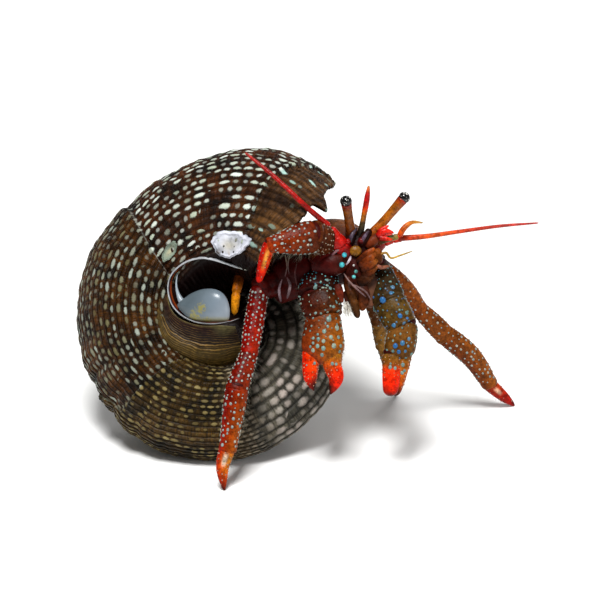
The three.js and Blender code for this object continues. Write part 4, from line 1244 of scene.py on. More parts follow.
# %% Build the walking legs and the claws' arms
plates = {}
flesh_folds = []


def limb_slot(name):
    """The kind of plate that a limb has."""
    return "claw_plate" if name.startswith("claw") else "leg_plate"


def new_plate(name, line, girths, flat, tints, **extra):
    """Remembers a plate's shape for the spots and hairs, and gives its form."""
    plates[name] = {"line": line, "girths": girths, "flat": flat, "tints": tints, "seed": len(plates) * 1.7,
                    **extra}
    return plate_form(plates[name])


def add_plate(name, line, girths, flat, tints, others=(), **extra):
    """Makes one plate, joined with the other forms, and lays a fold of skin in the joint at its
    start. A coxa is round."""
    flat = 1 if "coxa" in name else flat
    slot = "body_plate" if "coxa" in name else limb_slot(name)
    make_piece(name + "_plate", [new_plate(name, line, girths, flat, tints, **extra), *others], CHITIN, slot,
               [name])
    _, along, wide, deep = line_frame(line, AWAY, np.array(0.02))
    fold = 0.84 * girths[0]
    flesh_folds.append(ball_form(line[0], (0.6 * fold, fold, fold * flat), (along, wide, deep), "3a0a06"))


placed = {limb: 0 for limb in JOINTS}
for name, girths, *tints in table(LEG_PLATES):
    limb, part = name.split()
    extra = {"collar": 0, "ends": (0.07, 0.12)} if part == "dactyl" else {}
    add_plate(f"{limb}_{part}", segment_line(limb, placed[limb], part), numbers(girths), 0.78, tints, **extra)
    placed[limb] += 1
claw_tints = {name: tints for name, *tints in table(CLAW_TINTS)}
for side, scale in CLAW_SCALE.items():
    for number, (part, girths) in enumerate(CLAW_GIRTHS.items()):
        add_plate(f"claw_{side}_{part}", segment_line(f"claw_{side}", number, part), np.array(girths) * scale,
                  0.85, claw_tints[f"{side} {part}"], corner=2.4)

# %% [markdown]
# ## Hands and fingers of the claws
#
# The palm and the fixed finger are one plate: a broad tube with a narrower one growing from its far
# end. The other finger is hinged on the palm, beside a gap in the shape of a V. Both fingers end in
# dark horny spoons, which such crabs use to scrape food off rocks.

# %% Build the hands
HANDS = {
    "right": {"knuckle": [1.9, -5.4, 10.2], "nest": [-0.15, 0.45, 0.65], "palm": [1.4, 1.66, 1.84, 1.62],
              "fixed": "1.09 -4.12 3.3, 0.88 -5.38 3.4, 0.88 -6.56 3.3, 1.18 -7.65 3.1",
              "hinged": "2.69 -4.29 3.3, 2.73 -5.46 3.5, 3.03 -6.55 3.4, 2.56 -7.95 3.2",
              "fixed_girths": [0.95, 0.74, 0.6, 0.16], "hinged_girths": [1.0, 0.8, 0.62, 0.16]},
    "left": {"knuckle": [8.2, -4.6, 10.2], "nest": [0.1, 0.3, 0.5], "palm": [1.2, 1.32, 1.36, 1.25],
             "fixed": "8.68 -4.21 2.5, 8.51 -5.56 2.5, 8.26 -6.91 2.4, 8 -8.1 2.3",
             "hinged": "7.75 -4.38 2.7, 7.7 -5.73 2.8, 7.66 -6.99 2.8, 7.58 -8.1 2.7",
             "fixed_girths": [0.9, 0.75, 0.6, 0.4], "hinged_girths": [0.9, 0.8, 0.76, 0.6]},
}
for side, hand in HANDS.items():
    finger = {"flat": 0.88, "collar": 0, "ends": (0.12, 0.14)}
    fixed = new_plate(f"claw_{side}_fixed", leaning(numbers(hand["fixed"])), hand["fixed_girths"],
                      tints=claw_tints[side + " fixed"], **finger)
    palm_line = [JOINTS[f"claw_{side}"][-1] + hand["nest"], hand["knuckle"]]
    add_plate(f"claw_{side}_hand", palm_line, hand["palm"], 0.74, claw_tints[side + " hand"], [fixed],
              collar=0, corner=2.4, ends=(0.1, 0.34))
    add_plate(f"claw_{side}_finger", leaning(numbers(hand["hinged"])), hand["hinged_girths"],
              tints=claw_tints[side + " finger"], **finger)

# %% [markdown]
# ## The shield and the head
#
# The shield is the only hard part of the back: a shallow plate with a groove across it, which ends
# between the eyes in a small point. The eyestalks, antennae and mouth legs all start under its
# front edge.

# %% Shield
SHIELD_LINE = numbers("5.1 -0.1 18, 4.6 1 18.2, 3.9 2.6 18, 3.1 4.4 17.8, 2.2 6 17.5")
DORSAL = np.array([0.05, 0.3, 0.95])
t, turn = stations(70, 72)
groove = -0.12 * np.exp(-(((t - 0.55 - 0.06 * np.cos(2 * turn)) / 0.035) ** 2))
shield = tube_form(SHIELD_LINE, [0.9, 1.75, 2.15, 2.2, 1.7], "5a1a0c 4c1c0e 643416 74421c 6a3a18", rows=70,
                   sides=72, flat=0.62, thin=DORSAL, corner=2.3, ends=(0.1, 0.12), relief=groove - 0.03)
make_piece("shield_plate", [shield], CHITIN, "body_plate", ["shield"])

# %% [markdown]
# ## Eyes
#
# Each eye is a black cornea on a long amber stalk. Seen close, the cornea is dusted with white
# specks, partly white spots and partly painted glints. It is a ball a little longer than wide, and
# its gloss must be the sharpest on the model, because an eye without a highlight looks dead.

# %% Cornea and stalk finishes
# The white specks are partly white spots and partly painted glints.
CORNEA = new_finish("cornea_black_glossy", f"""
    place = TexCoord
    cells = TexVoronoi Vector=place.Object Scale={per(0.21)}
    lots = SeparateColor cells.Color
    size = MapRange lots.0 0.66 1 0.14 0.44
    speck = LESS_THAN cells.Distance size
    colour = Mix RGBA speck 6=#060405 7=#d8d4cc
    shader = Principled Base_Color=colour.2""", Roughness=0.12)
STALK_CHITIN = chitin_finish("chitin_stalk_amber", 0.26, 0.25)
STALKS = {"right": ([4.45, 0.9, 18.7], "120a08 3a1a0a 743808 86440a 8a4a0c 8a4a0e a00c06"),
          "left": ([5.55, 0.8, 18.7], "300e08 823c06 a85208 b05e0a b0600a a85a0a a00c04")}
for side, ball in EYE_BALLS.items():
    foot, stops = STALKS[side]
    along = unit(ball - foot)
    wide = unit(np.cross(along, AWAY))
    cornea = ball_form(ball, (0.47, 0.5, 0.48), (along, wide, np.cross(wide, along)), "060405", 40, 48)
    make_piece(f"eye_{side}_cornea", [cornea], CORNEA, "eye", [f"eye_{side}"])
    stalk = tube_form([foot, ball - along * 0.12], [0.58, 0.5, 0.41, 0.39, 0.41, 0.47], stops, rows=70,
                      sides=48, ends=(0.05, 0.03))
    make_piece(f"eyestalk_{side}_tube", [stalk], STALK_CHITIN, "eyestalk", [f"eyestalk_{side}"])

# %% [markdown]
# ## Feelers
#
# The long antennae are whips of hundreds of short rings on a thick jointed base. The short
# antennules carry the crab's sense of smell and end in a bent hook. The rings are a small ripple
# of the girth every 0.3 mm.

# %% Antennae and antennules
FEELERS = """
antennule_right | 5 0.6 19.3, 5.2 0.7 20.1, 5.4 0.9 21.2, 5.6 1.3 22.2, 5.8 1.8 23.5 |
    0.3 0.27 0.24 0.26 0.24 0.1 | 1c120c 2a2014 4a3a1c c87010 d83008 c01014 c81c14 d88030
antennule_left_stem | 6 0.5 18.6, 7.1 0.4 19.1, 8.3 0.6 19.35 | 0.34 0.3 0.28 0.26 |
    3a0e08 7a2a10 6a5a20 8a7a34 9a7a30
antennule_left_hook | 8.4 0.6 19.4, 8.7 0.8 19.9, 9.1 1 20.25, 9.6 1.2 20.4, 10.4 1.3 20.3 |
    0.26 0.26 0.22 0.14 0.07 | e04a08 e8600c e87a14 d89030 c8a060
antenna_right_whip | 2.5 -0.3 20.65, 0.4 -0.9 22.85, -2.1 0.4 24.85, -4.6 1.8 26.5 |
    0.28 0.24 0.22 0.19 0.12 | c01408 a80c04 b41008 a00c04 b82010
antenna_left_whip | 8.2 1.3 18.85, 10.6 1.5 18.95, 13.6 2.2 19.1, 17 3.1 19.2, 20.4 4 19.1 |
    0.28 0.22 0.18 0.15 0.08 | d82a08 e85a14 d83c1c d44034 d04038
"""
STEMS = """
antenna_right_stem | 4.1 0.1 17.9, 3.4 -0.2 18.9, 2.6 -0.3 20.55 | 0.74 0.74 0.7 0.5 0.3 |
    4a0606 8c0a06 c81008 d01808 c41008
antenna_left_stem | 6.2 1.3 17.9, 7.1 1.5 18.6, 8.7 1.5 18.8 | 0.7 0.66 0.56 0.4 0.3 |
    4a0606 9a1006 d81c08 dc2a0c d83008
"""
FEELER_CHITIN = chitin_finish("chitin_feeler_waxy", 0.34, 0.2)
for name, line, girths, stops in tubes_of(FEELERS):
    rows = int(line_length(line) / 0.075)
    t, _ = stations(rows, 16)
    ringed = -0.018 * np.cos(2 * math.pi * t * line_length(line) / 0.3) ** 2
    feeler = tube_form(line, girths, stops, rows=rows, sides=16, relief=ringed, ends=(0.03, 0.03))
    make_piece(name + "_ringed", [feeler], FEELER_CHITIN, "feeler", [name])
for name, line, girths, stops in tubes_of(STEMS):
    t, _ = stations(60, 40)
    joints = -0.1 * np.exp(-(((t - 0.42) / 0.025) ** 2)) - 0.08 * np.exp(-(((t - 0.72) / 0.02) ** 2))
    stem = tube_form(line, girths, stops, rows=60, sides=40, relief=joints)
    make_piece(name + "_jointed", [stem], FEELER_CHITIN, "feeler", [name])

# %% [markdown]
# ## Small legs
#
# The fourth and fifth legs are short props that hold the shell, and the mouth legs hang in front of
# the jaws. They are jointed tubes too, small enough to be one form each with grooves at the joints.

# %% Fourth, fifth and mouth legs
def small_leg(name, line, girths, stops, slot):
    """A short leg: one tube with a groove at each of its two joints."""
    t, _ = stations(72, 32)
    grooves = sum(-0.09 * np.exp(-(((t - joint) / 0.02) ** 2)) for joint in (0.35, 0.68))
    form = tube_form(line, girths, stops, rows=72, sides=32, relief=grooves, ends=(0.06, 0.1))
    make_piece(name + "_jointed", [form], CHITIN, slot, [name])


FOURTH_LEG = numbers("-4.1 4.3 15.2, -4.9 3 15.2, -5.4 1.4 14, -5.6 0.2 12.2")
small_leg("leg4_right", FOURTH_LEG, [0.48, 0.44, 0.4, 0.28],
          "5a1008 7a2008 7a3010 b8600e e08c14 e89418", "leg_plate")
HIDDEN_LEGS = {
    "leg4_left": [[0.6, 7.6, 14.4], in_tube(9, 3.0, 2.6), in_tube(24, 3.4, 2.4)],
    "leg5_left": [in_tube(4, -0.2, 4.4), in_tube(14, 0, 4.5), in_tube(28, 0.3, 4.5)],
    "leg5_right": [in_tube(-4, -3.6, -1.6), in_tube(8, -4.1, -1.6), in_tube(20, -4.2, -1.4)],
}
for name, line in HIDDEN_LEGS.items():
    small_leg(name, line, [0.38, 0.34, 0.26], "3a0c06 5e2410 8a4810", "leg_plate")
MOUTH_LEGS = """
mouth_leg_right | 4.2 0.3 16.6, 4.1 -1.4 15.9, 4.5 -2.4 14.8, 4.9 -2.8 13.3 | 0.46 0.46 0.4 0.28 |
    2c0806 3a120a 4a2410 5a3414 4a2a12
mouth_leg_left | 5 0 16.7, 5.7 -0.7 17.6, 6.5 -0.8 18.5, 6.7 -1.2 17.6 | 0.46 0.46 0.4 0.28 |
    2c0806 4a1a0c 6a3010 7a3c12 5a2a10
"""
for leg in tubes_of(MOUTH_LEGS):
    small_leg(*leg, "body_plate")

# %% [markdown]
# ## Between the claws
#
# The face is crowded. Brown leaf-like plates fan out over the jaws, a red toothed scale guards the
# left antenna, pale membranes and threads lie across dark red flesh, two grey-lilac strips on dark
# lumps are painted highlights, and a few turquoise dots shine like glass beads. Each is a small tube
# or ball whose place is given across, up and out of the leaning frame, and the flesh below them
# joins the one soft skin.

# %% Places, half widths and colours on the face
JAW_LEAVES = """
| 4.8 3.12 2.6, 5.55 3.74 3, 6.27 4.38 3 | 0.28 0.34 0.32 0.12 | 240c06 6a2a0e a84c16
| 4.97 2.78 2.8, 5.8 3.41 3.2, 6.48 4 3 | 0.26 0.34 0.3 0.12 | 2c1008 7c3410 9a4e1c
| 5.14 2.44 2.8, 5.97 2.99 3.2, 6.61 3.49 2.9 | 0.26 0.34 0.3 0.12 | 2c1008 6a2c0e a05a20
| 5.22 2.02 2.6, 5.97 2.48 3, 6.57 2.95 2.8 | 0.3 0.36 0.32 0.12 | 240e06 5a260c 8a4a1c
| 4.81 1.43 2.4, 5.56 1.77 2.7, 6.32 2.27 2.6 | 0.4 0.45 0.38 0.15 | 200c06 3e1e0e 5a341a
| 3.16 1.35 2.8, 3.32 0.59 2.9, 3.54 -0.25 2.8 | 0.3 0.36 0.3 0.16 | 4a1810 7a2c1a 6a2c1a
| 5.23 1.35 2.4, 5.39 0.34 2.5, 5.23 -0.93 2.3 | 0.4 0.5 0.45 0.2 | 3a1810 4c2414 7a3a14
"""
SCALE_SPIKES = """
| 6.49 5.31 2.3, 7.16 5.82 2.5, 7.93 5.65 2.4 | 0.3 0.3 0.2 0.08 | 8a0c08 f01c0c ff3010
| 6.58 5.57 2.3, 7 5.99 2.4, 7.5 6.28 2.4 | 0.28 0.24 0.16 0.07 | 8a0c08 f81c0c ff2c10
| 6.66 5.23 2.4, 7.33 5.14 2.5, 7.84 5.06 2.4 | 0.26 0.22 0.16 0.07 | 7a0c08 e0200c f03810
"""
# The last two rows are grey-lilac strips on the dark lumps of the neck, which are painted highlights.
THREADS_AND_GLINTS = """
| 6.4 3.7 2.9, 6.9 3.91 3, 7.28 3.95 3, 7.66 3.53 3, 8.42 3.75 2.9, 9.51 4.13 2.8 |
    0.13 0.11 0.09 0.08 0.07 0.04 | 8a5a18 c09428 c8a040
| 3.67 2.27 3, 4.12 1.6 3.3, 4.79 0.92 3.4, 5.55 0.25 3 | 0.06 0.08 0.08 0.04 | 70504a 8c6c68 74585c
| 4.12 1.43 3, 4.88 1.09 3.3, 5.55 0.67 3.1, 5.98 0 2.8 | 0.05 0.07 0.07 0.04 | 604840 846460 6c5458
| 4.29 3.7 3.1, 4.16 3.36 3.3, 3.87 2.94 3.1 | 0.06 0.1 0.09 0.05 | a090a0 dcd0d8 a890a0
| 3.87 4.46 2.7, 3.2 4.21 2.8, 2.53 3.62 2.6 | 0.08 0.12 0.11 0.06 | 6a3840 94686c 60303a
| 5.81 3.37 2.6, 6.32 2.95 2.8, 6.91 2.74 2.6, 7.6 2.87 1.9 | 0.1 0.17 0.16 0.08 | 6a3424 a4644c 94502c
| -1.61 -0.17 1.4, -1.77 0.85 1.7, -1.52 1.77 1.7 | 0.07 0.12 0.1 0.05 | 604048 a48c94 7c5c60
| -1.1 1.94 1.7, -0.84 1.18 1.8, -1.1 0.08 1.5 | 0.06 0.11 0.12 0.06 | 6c4448 9c8488 704c50
| -1.27 3.88 2, -1.1 2.87 1.9, -1.27 1.94 1.7 | 0.04 0.06 0.06 0.04 | 9c8c74 6c544c 604044
| -0.84 3.97 2, -1.01 3.04 2, -0.93 2.2 1.8 | 0.04 0.05 0.05 0.03 | a09078 705850 604044
| -0.25 3.21 1.9, -0.42 2.28 2, -0.25 1.18 1.8 | 0.04 0.07 0.07 0.04 | 4c1810 6c3c3c 502420
| 4.21 4.8 2.6, 4.38 5.47 2.7, 4.81 6.07 2.4 | 0.12 0.16 0.14 0.08 | 2a1414 584858 241a20
| 5.14 4.8 2.6, 5.47 5.39 2.8, 5.82 5.82 2.4 | 0.12 0.16 0.13 0.08 | 4a1014 6a5468 2a1c20
"""
FLESH = """
| 4.91 5.84 1.3, 4.82 4.06 1.5, 4.73 1.69 1.7, 4.99 -0.59 1.6 | 0.85 1.05 1 0.75 |
    1c0a08 300806 3c140c 54301f
| 4.14 4.56 1.9, 4.3 5.23 2.1, 4.65 6 1.9 | 0.38 0.42 0.36 0.26 | 340a06 200c0a 180e10
| 4.98 4.48 1.9, 5.48 5.23 2.2, 5.91 6 1.9 | 0.4 0.42 0.36 0.26 | 3c0c06 2a0e0a 24100e
| 5.57 4.48 1.9, 6.16 4.98 2.1, 6.76 5.57 1.9 | 0.42 0.46 0.4 0.25 | 5a1c0c 6a2c12 5a1a10
| 4.23 0.85 1.7, 4.31 -0.08 1.9, 4.31 -1.01 1.9 | 0.62 0.55 0.32 | 3a140c 522c22 786a70
| 5.75 2.03 1.6, 5.92 0.51 1.7, 5.92 -0.68 1.7 | 0.9 0.75 0.4 | 3a2018 5c3c2c 7a4c38
| 3.39 5.25 1.3, 2.37 4.06 1.7, 1.52 2.71 1.6 | 0.9 1.25 1.2 | 8a0c06 5c0a06 3c0604
| 3.89 3.55 1.9, 2.7 3.04 2.1, 1.18 3.21 1.4 | 0.8 1.1 1.1 | 4a1a0c 3c0806 480806
| 1.19 3.22 0.8, -0.68 2.38 0.4, -2.21 1.36 -0.4 | 1.3 1.6 1.2 | 4a0806 3c0605 300505
| 0.17 1.87 0.6, -1.19 0.93 0.2, -2.04 0.34 -0.4 | 1.2 1.15 0.8 | 480806 4a0c08 3c0806
"""
JEWELS = """
3.74 3.79 3.1 | 0.22 | 46b8c8
3.52 2.96 3.15 | 0.23 | 4cc0c8
4.71 2.4 2.95 | 0.15 | 6cc4bc
4.53 1.94 3 | 0.17 | 5cb8b8
4.53 2.92 2.8 | 0.1 | e8e4e0
4.04 4.93 2.7 | 0.24 | a80c08
5.14 5.01 2.6 | 0.26 | 6a0c0e
"""

# %% Build the face and the soft body
def face_tubes(text, flat):
    """A closed tube for each line of the table, flat being its depth as a share of its width."""
    return [tube_form(line, girths, stops, rows=44, sides=22, thin=OUT, flat=flat, ends=(0.1, 0.1))
            for _, line, girths, stops in tubes_of(text, leaning)]


def bead(place, radii, shade):
    """A ball of the leaning frame."""
    return ball_form(leaning(place), radii, (ACROSS, SLOPE, OUT), shade)


make_piece("face_leaf_plates", face_tubes(JAW_LEAVES, 0.45), CHITIN, "body_plate")
make_piece("antennal_scale_teeth", face_tubes(SCALE_SPIKES, 0.7), FEELER_CHITIN, "feeler")
make_piece("face_threads_and_glints", face_tubes(THREADS_AND_GLINTS, 0.8), FEELER_CHITIN, "feeler")
beads = [bead(numbers(place), [float(size)] * 3, shade) for place, size, shade in table(JEWELS)]
beads.append(bead([4.69, 4.13, 2.6], (0.5, 0.46, 0.22), "8a5810"))
make_piece("face_beads", beads, FEELER_CHITIN, "body_plate")
make_piece("soft_body", [soft_body, *flesh_folds, *face_tubes(FLESH, 0.8)], MOIST_SKIN, "soft_skin",
           ["abdomen_front", "abdomen_rear", "thorax"])

# %% [markdown]
# ## Spots
#
# The limbs are sprinkled with pale blue and white spots, each a little raised, like drops of enamel.
# They lie in loose rows along the legs and are larger and more scattered on the claws. Each spot is
# a low closed dome of thirty-two faces on the skin of its plate. All spots of a limb are one mesh.

# %% Enamel spots
ENAMEL = new_finish("pigment_spot_enamel", clouded(0.15, 2, 0.32, 0.6) + """
    shader = Principled Base_Color=colour""", Roughness=0.3, Specular_IOR_Level=0.3)
DOME_RINGS = [(1.0, -0.6), (0.9, 0.45), (0.5, 0.9)]  # radius and height as shares of the spot's own


def dome_form(centres, normals, along, long, wide, high, tint):
    """Many closed domes as one form: three rings of eight points, a top and a bottom point each,
    stretched by long and wide over the skin and by high above it."""
    sides = 8
    turn = np.arange(sides) / sides * 2 * math.pi
    shape = [(r * np.cos(turn), r * np.sin(turn), np.full(sides, h)) for r, h in DOME_RINGS]
    shape = np.concatenate([np.stack(ring, -1) for ring in shape] + [[[0, 0, 1], [0, 0, -0.6]]])
    side = np.cross(normals, along)
    scaled = shape[None] * np.stack([long, wide, high], -1)[:, None]
    points = (centres[:, None] + along[:, None] * scaled[..., :1] + side[:, None] * scaled[..., 1:2]
              + normals[:, None] * scaled[..., 2:])
    ring = np.arange(sides)
    nxt = np.roll(ring, -1)
    tris = np.concatenate([np.stack([ring + 2 * sides, nxt + 2 * sides, np.full(sides, 3 * sides)], -1),
                           np.stack([nxt, ring, np.full(sides, 3 * sides + 1)], -1)])
    return repeated(points, ring_quads(3, sides), tris, tint)

# %% Rows of small spots and single large ones
def drawn(draw, colours, count):
    """Colours drawn at random from a string of them."""
    shades = palette(colours)
    return shades[draw.integers(0, len(shades), count)]


def row_spots(plate, rows, pitch, small, large, colours, span):
    """Spots in rows along a plate: a row every share of a turn, a spot every pitch millimetres, each
    moved a little, 85 in 100 kept, with a radius and a colour drawn from those given."""
    draw = np.random.default_rng(int(plate["seed"] * 10) + 7)
    length = line_length(plate["line"])
    count = max(1, int((span[1] - span[0]) * length / pitch))
    t, turn = np.meshgrid(np.arange(count), np.arange(int(rows)), indexing="ij")
    t = span[0] + (t + 0.5 * (turn % 2) + draw.uniform(-0.28, 0.28, t.shape)) / count * (span[1] - span[0])
    turn = (turn + draw.uniform(-0.2, 0.2, turn.shape)) / rows * 2 * math.pi
    kept = (draw.random(t.shape) < 0.85) & (t < span[1])
    t, turn = t[kept], turn[kept]
    size = small + (large - small) * draw.random(len(t)) ** 1.5
    normals, along = plate_normal(plate, t, turn)
    tint = drawn(draw, colours, len(t))
    stretch = draw.uniform(1.0, 1.35, len(t))
    return dome_form(plate_at(plate, t, turn), normals, along, size * stretch, size, 0.06 + 0 * size, tint)


def placed_spots(plate, spots, colours):
    """Spots at given places of the leaning frame, each on the nearest point of the plate's near side."""
    t, turn = np.meshgrid(np.linspace(0.01, 0.97, 120), np.radians(np.arange(180, 361, 2)), indexing="ij")
    t, turn = t.ravel(), turn.ravel()
    skin = plate_at(plate, t, turn) - LEAN_MIDDLE
    spots = numbers(spots)
    off = np.stack([skin @ ACROSS, skin @ SLOPE], -1)[None] - spots[:, None, :2]
    nearest = np.argmin((off**2).sum(-1), 1)
    t, turn = t[nearest], turn[nearest]
    normals, along = plate_normal(plate, t, turn)
    size = spots[:, 2]
    shades = palette(colours)
    tint = shades[np.arange(len(size)) % len(shades)]
    return dome_form(plate_at(plate, t, turn), normals, along, size * 1.15, size, size * 0.35, tint)

# %% Where the spots lie
SPOT_COLOURS = {
    "pale": "c9d4cc b4c8c4 dcd8c4 a8bcb4", "small_pale": "c8b49c c49a80 d8c8b0",
    "sea": "8fb0a8 9cc0b4 7ba8a4 b4c8b4", "stone": "c0b8a8", "cyan": "3fb8c8 52a8c0 6cc0c0 8fb8b0",
    "blue": "2f7fc8 4a90c4 6a9ac0 7fb0a8 6f9a98", "horn_pale": "f0b088 f8d0a8 f09058",
}
# Limb and plate | rows, pitch, smallest and largest radius in mm | colours.
SPOTS = """
leg2_right merus | 14 0.42 0.05 0.12 | pale
leg2_right carpus | 14 0.42 0.06 0.12 | pale
leg2_right propodus | 14 0.5 0.06 0.15 | pale
leg2_right dactyl | 8 0.6 0.04 0.07 | small_pale
leg2_left merus | 10 0.75 0.05 0.1 | pale
leg2_left carpus | 11 0.6 0.06 0.12 | pale
leg2_left propodus | 12 0.56 0.06 0.13 | pale
leg2_left dactyl | 8 0.8 0.04 0.07 | small_pale
leg3_right merus | 15 0.7 0.03 0.05 | small_pale
leg3_right carpus | 20 0.34 0.04 0.09 | small_pale
leg3_right propodus | 17 0.46 0.05 0.14 | pale
leg3_right dactyl | 6 0.7 0.03 0.05 | small_pale
leg3_left merus | 8 0.9 0.06 0.1 | pale
leg3_left carpus | 8 0.9 0.06 0.1 | pale
leg3_left propodus | 8 0.9 0.06 0.1 | pale
claw_right merus | 26 0.36 0.04 0.09 | cyan
claw_right carpus | 20 0.5 0.05 0.1 | sea
claw_right hand | 18 0.5 0.05 0.11 | sea
claw_right fixed | 11 0.34 0.03 0.06 | horn_pale
claw_right finger | 11 0.34 0.03 0.06 | horn_pale
claw_left merus | 18 0.5 0.04 0.09 | cyan blue
claw_left carpus | 18 0.5 0.04 0.1 | blue
claw_left hand | 16 0.5 0.05 0.11 | sea stone
claw_left fixed | 9 0.4 0.04 0.08 | horn_pale
claw_left finger | 11 0.34 0.03 0.06 | horn_pale
"""
# The largest spots of the claws, by their places across and up and their radii.
BIG_SPOTS = """
claw_right_merus | 2.32 1.68 0.15, 2.28 1.23 0.15, 1.32 1.23 0.14, 1.86 0.54 0.18, 1.2 -0.3 0.19,
    0.72 -0.84 0.14, 2.56 0.98 0.17, 2.16 0.96 0.11, 2.56 0.62 0.12, 1.85 2.19 0.09, 1.2 1.8 0.1,
    1.74 1.56 0.09
claw_right_carpus | 2.83 -0.59 0.17, 3.16 -1.06 0.16, 3.09 -0.22 0.12, 2.35 -1.23 0.12, 1.32 -1.08 0.15,
    1.77 -1.14 0.11, 2.1 -0.84 0.08
claw_right_hand | 2.44 -1.6 0.25, 2.02 -2.64 0.19, 1.51 -2.88 0.11, 2.58 -3.11 0.19, 3.22 -3.11 0.16,
    1.14 -3.19 0.13, 1.56 -3.25 0.16, 1.98 -3.42 0.18, 1.12 -3.62 0.13, 1.48 -3.84 0.18, 0.84 -3.9 0.12,
    2.83 -3.84 0.22, 3.4 -3.84 0.15, 1.98 -4.03 0.2, 3.31 -4.32 0.14, 1.08 -4.23 0.18, 1.86 -4.59 0.17,
    0.76 -4.87 0.15, 2.97 -4.87 0.16, 3.09 -2.35 0.22, 2.32 -2.22 0.13
claw_right_fixed | 1.23 -5.29 0.14, 0.54 -5.47 0.08
claw_right_finger | 2.72 -5.35 0.15, 3.03 -5.38 0.13
claw_left_merus | 6.95 -0.03 0.28, 7.65 0.6 0.19, 7.82 1.08 0.19, 6.28 -0.66 0.22, 6.33 -1.29 0.23,
    6.19 0.22 0.11, 6.61 0.45 0.09, 7.21 0.98 0.08, 7.65 1.56 0.1, 6.69 1.8 0.08, 5.95 1.51 0.1
claw_left_carpus | 8.41 -1.32 0.21, 7.87 -2.1 0.22, 8.81 -2.04 0.18, 8.35 -0.84 0.1, 8.95 -1.08 0.16,
    9 -1.51 0.13, 9.28 -2.1 0.12
claw_left_hand | 7.99 -3.84 0.22, 8.61 -3.61 0.22, 9.16 -3.27 0.16, 7.32 -4.26 0.16, 7.81 -4.32 0.14,
    8.29 -4.35 0.18, 8.83 -4.32 0.13, 9.08 -3.87 0.12, 9.37 -4.54 0.14, 8.89 -4.87 0.13, 7.91 -4.9 0.13,
    8.33 -4.93 0.13
claw_left_finger | 7.57 -5.63 0.17, 7.99 -5.71 0.15, 7.6 -5.35 0.1
claw_left_fixed | 8.65 -5.47 0.18, 8.58 -6.13 0.16, 8.8 -5.96 0.13
"""

# %% Build the spots
SPANS = {"hand": (0.05, 0.66), "finger": (0.1, 0.6)}
spot_forms = {}
for name, sizes, colours in table(SPOTS):
    limb, part = name.split()
    colours = " ".join(SPOT_COLOURS[word] for word in colours.split())
    span = SPANS.get(part, (0.08, 0.9))
    spots = row_spots(plates[f"{limb}_{part}"], *numbers(sizes), colours, span)
    spot_forms.setdefault(limb, []).append(spots)
for name, spots in table(BIG_SPOTS):
    blue = name in ("claw_left_merus", "claw_left_carpus", "claw_left_hand")
    spots = placed_spots(plates[name], spots, SPOT_COLOURS["blue" if blue else "sea"])
    spot_forms[name.rpartition("_")[0]].append(spots)
for limb, forms in spot_forms.items():
    make_piece(limb + "_spots", forms, ENAMEL, limb_slot(limb))

# %% [markdown]
# ## Hairs
#
# Stiff pale hairs stand along the lower edges of the legs and in a brush at the mouth. Each is a
# three-sided spike in three steps, bent a little. The UV map gives each hair its own small patch at
# its root's place, so that a baked picture keeps each hair's colour apart from the next one's.

# %% Hairs as arrays of thin spikes
STRAW = new_finish("seta_translucent_straw", clouded(0.5, 2, 0.2, 0.5) + """
    shader = Principled Base_Color=colour""", Roughness=0.45, Specular_IOR_Level=0.2)
HAIR_PATCH = 0.003  # side of one hair's patch on the UV map


def hair_form(roots, directions, bends, lengths, radius, tint, places):
    """Many spikes as one form: root + direction * length * s + bend * length * s squared, with a
    three-sided ring at s = 0, 1/3 and 2/3 that narrows to a point at s = 1."""
    share = np.array([0, 1 / 3, 2 / 3])
    turn = np.arange(3) / 3 * 2 * math.pi
    across = unit(np.cross(directions, [0.3, 0.2, 0.93]))
    other = np.cross(directions, across)
    spine = (roots[:, None] + directions[:, None] * (lengths[:, None] * share)[..., None]
             + bends[:, None] * (lengths[:, None] * share**2)[..., None])
    thick = radius * (1 - 0.75 * share)
    ring = (across[:, None, None] * np.cos(turn)[None, None, :, None]
            + other[:, None, None] * np.sin(turn)[None, None, :, None]) * thick[None, :, None, None]
    body = (spine[:, :, None] + ring).reshape(-1, 9, 3)
    tip = (roots + (directions + bends) * lengths[:, None])[:, None]
    side = np.arange(3)
    tris = np.concatenate([np.stack([side + 6, np.roll(side, -1) + 6, np.full(3, 9)], -1), [[2, 1, 0]]])
    u = np.concatenate([np.tile(side / 3, 3), [0.5]])
    v = np.concatenate([np.repeat(share, 3), [1.0]])
    patch = np.stack([u, v], -1) * HAIR_PATCH
    return repeated(np.concatenate([body, tip], 1), ring_quads(3, 3), tris, tint, places, patch)


def edge_hairs(plate, number, of, turns, span, count, length, colours):
    """Hairs on a strip of a plate between two turns (degrees), leaning towards the limb's tip. number
    and of place the strip on the unwrap, which stacks the limb's plates."""
    draw = np.random.default_rng(int(plate["seed"] * 10) + int(turns[0]) + 400)
    t = draw.uniform(*span, count)
    turn = np.radians(draw.uniform(*turns, count))
    normals, along = plate_normal(plate, t, turn)
    directions = unit(normals + along * 0.35 + draw.normal(0, 0.22, (count, 3)))
    bends = along * 0.25 + draw.normal(0, 0.12, (count, 3))
    tint = drawn(draw, colours, count)
    lengths = length * draw.uniform(0.5, 1.1, count)
    places = np.stack([np.mod(turn / (2 * math.pi), 1) * 0.99, (number + t) / of * 0.99], -1)
    roots = plate_at(plate, t, turn) - normals * 0.03
    return hair_form(roots, directions, bends, lengths, 0.012, tint, places)

# %% Where the hairs stand
HAIR_COLOURS = {"pale": "aaa492 8a8474 beb49c", "dark": "5a4a38 8a7a60 3a2c20",
                "gold": "c89a50 a87838 d8b878"}
HAIR_COLOURS["horn"] = HAIR_COLOURS["dark"] + " " + HAIR_COLOURS["gold"]
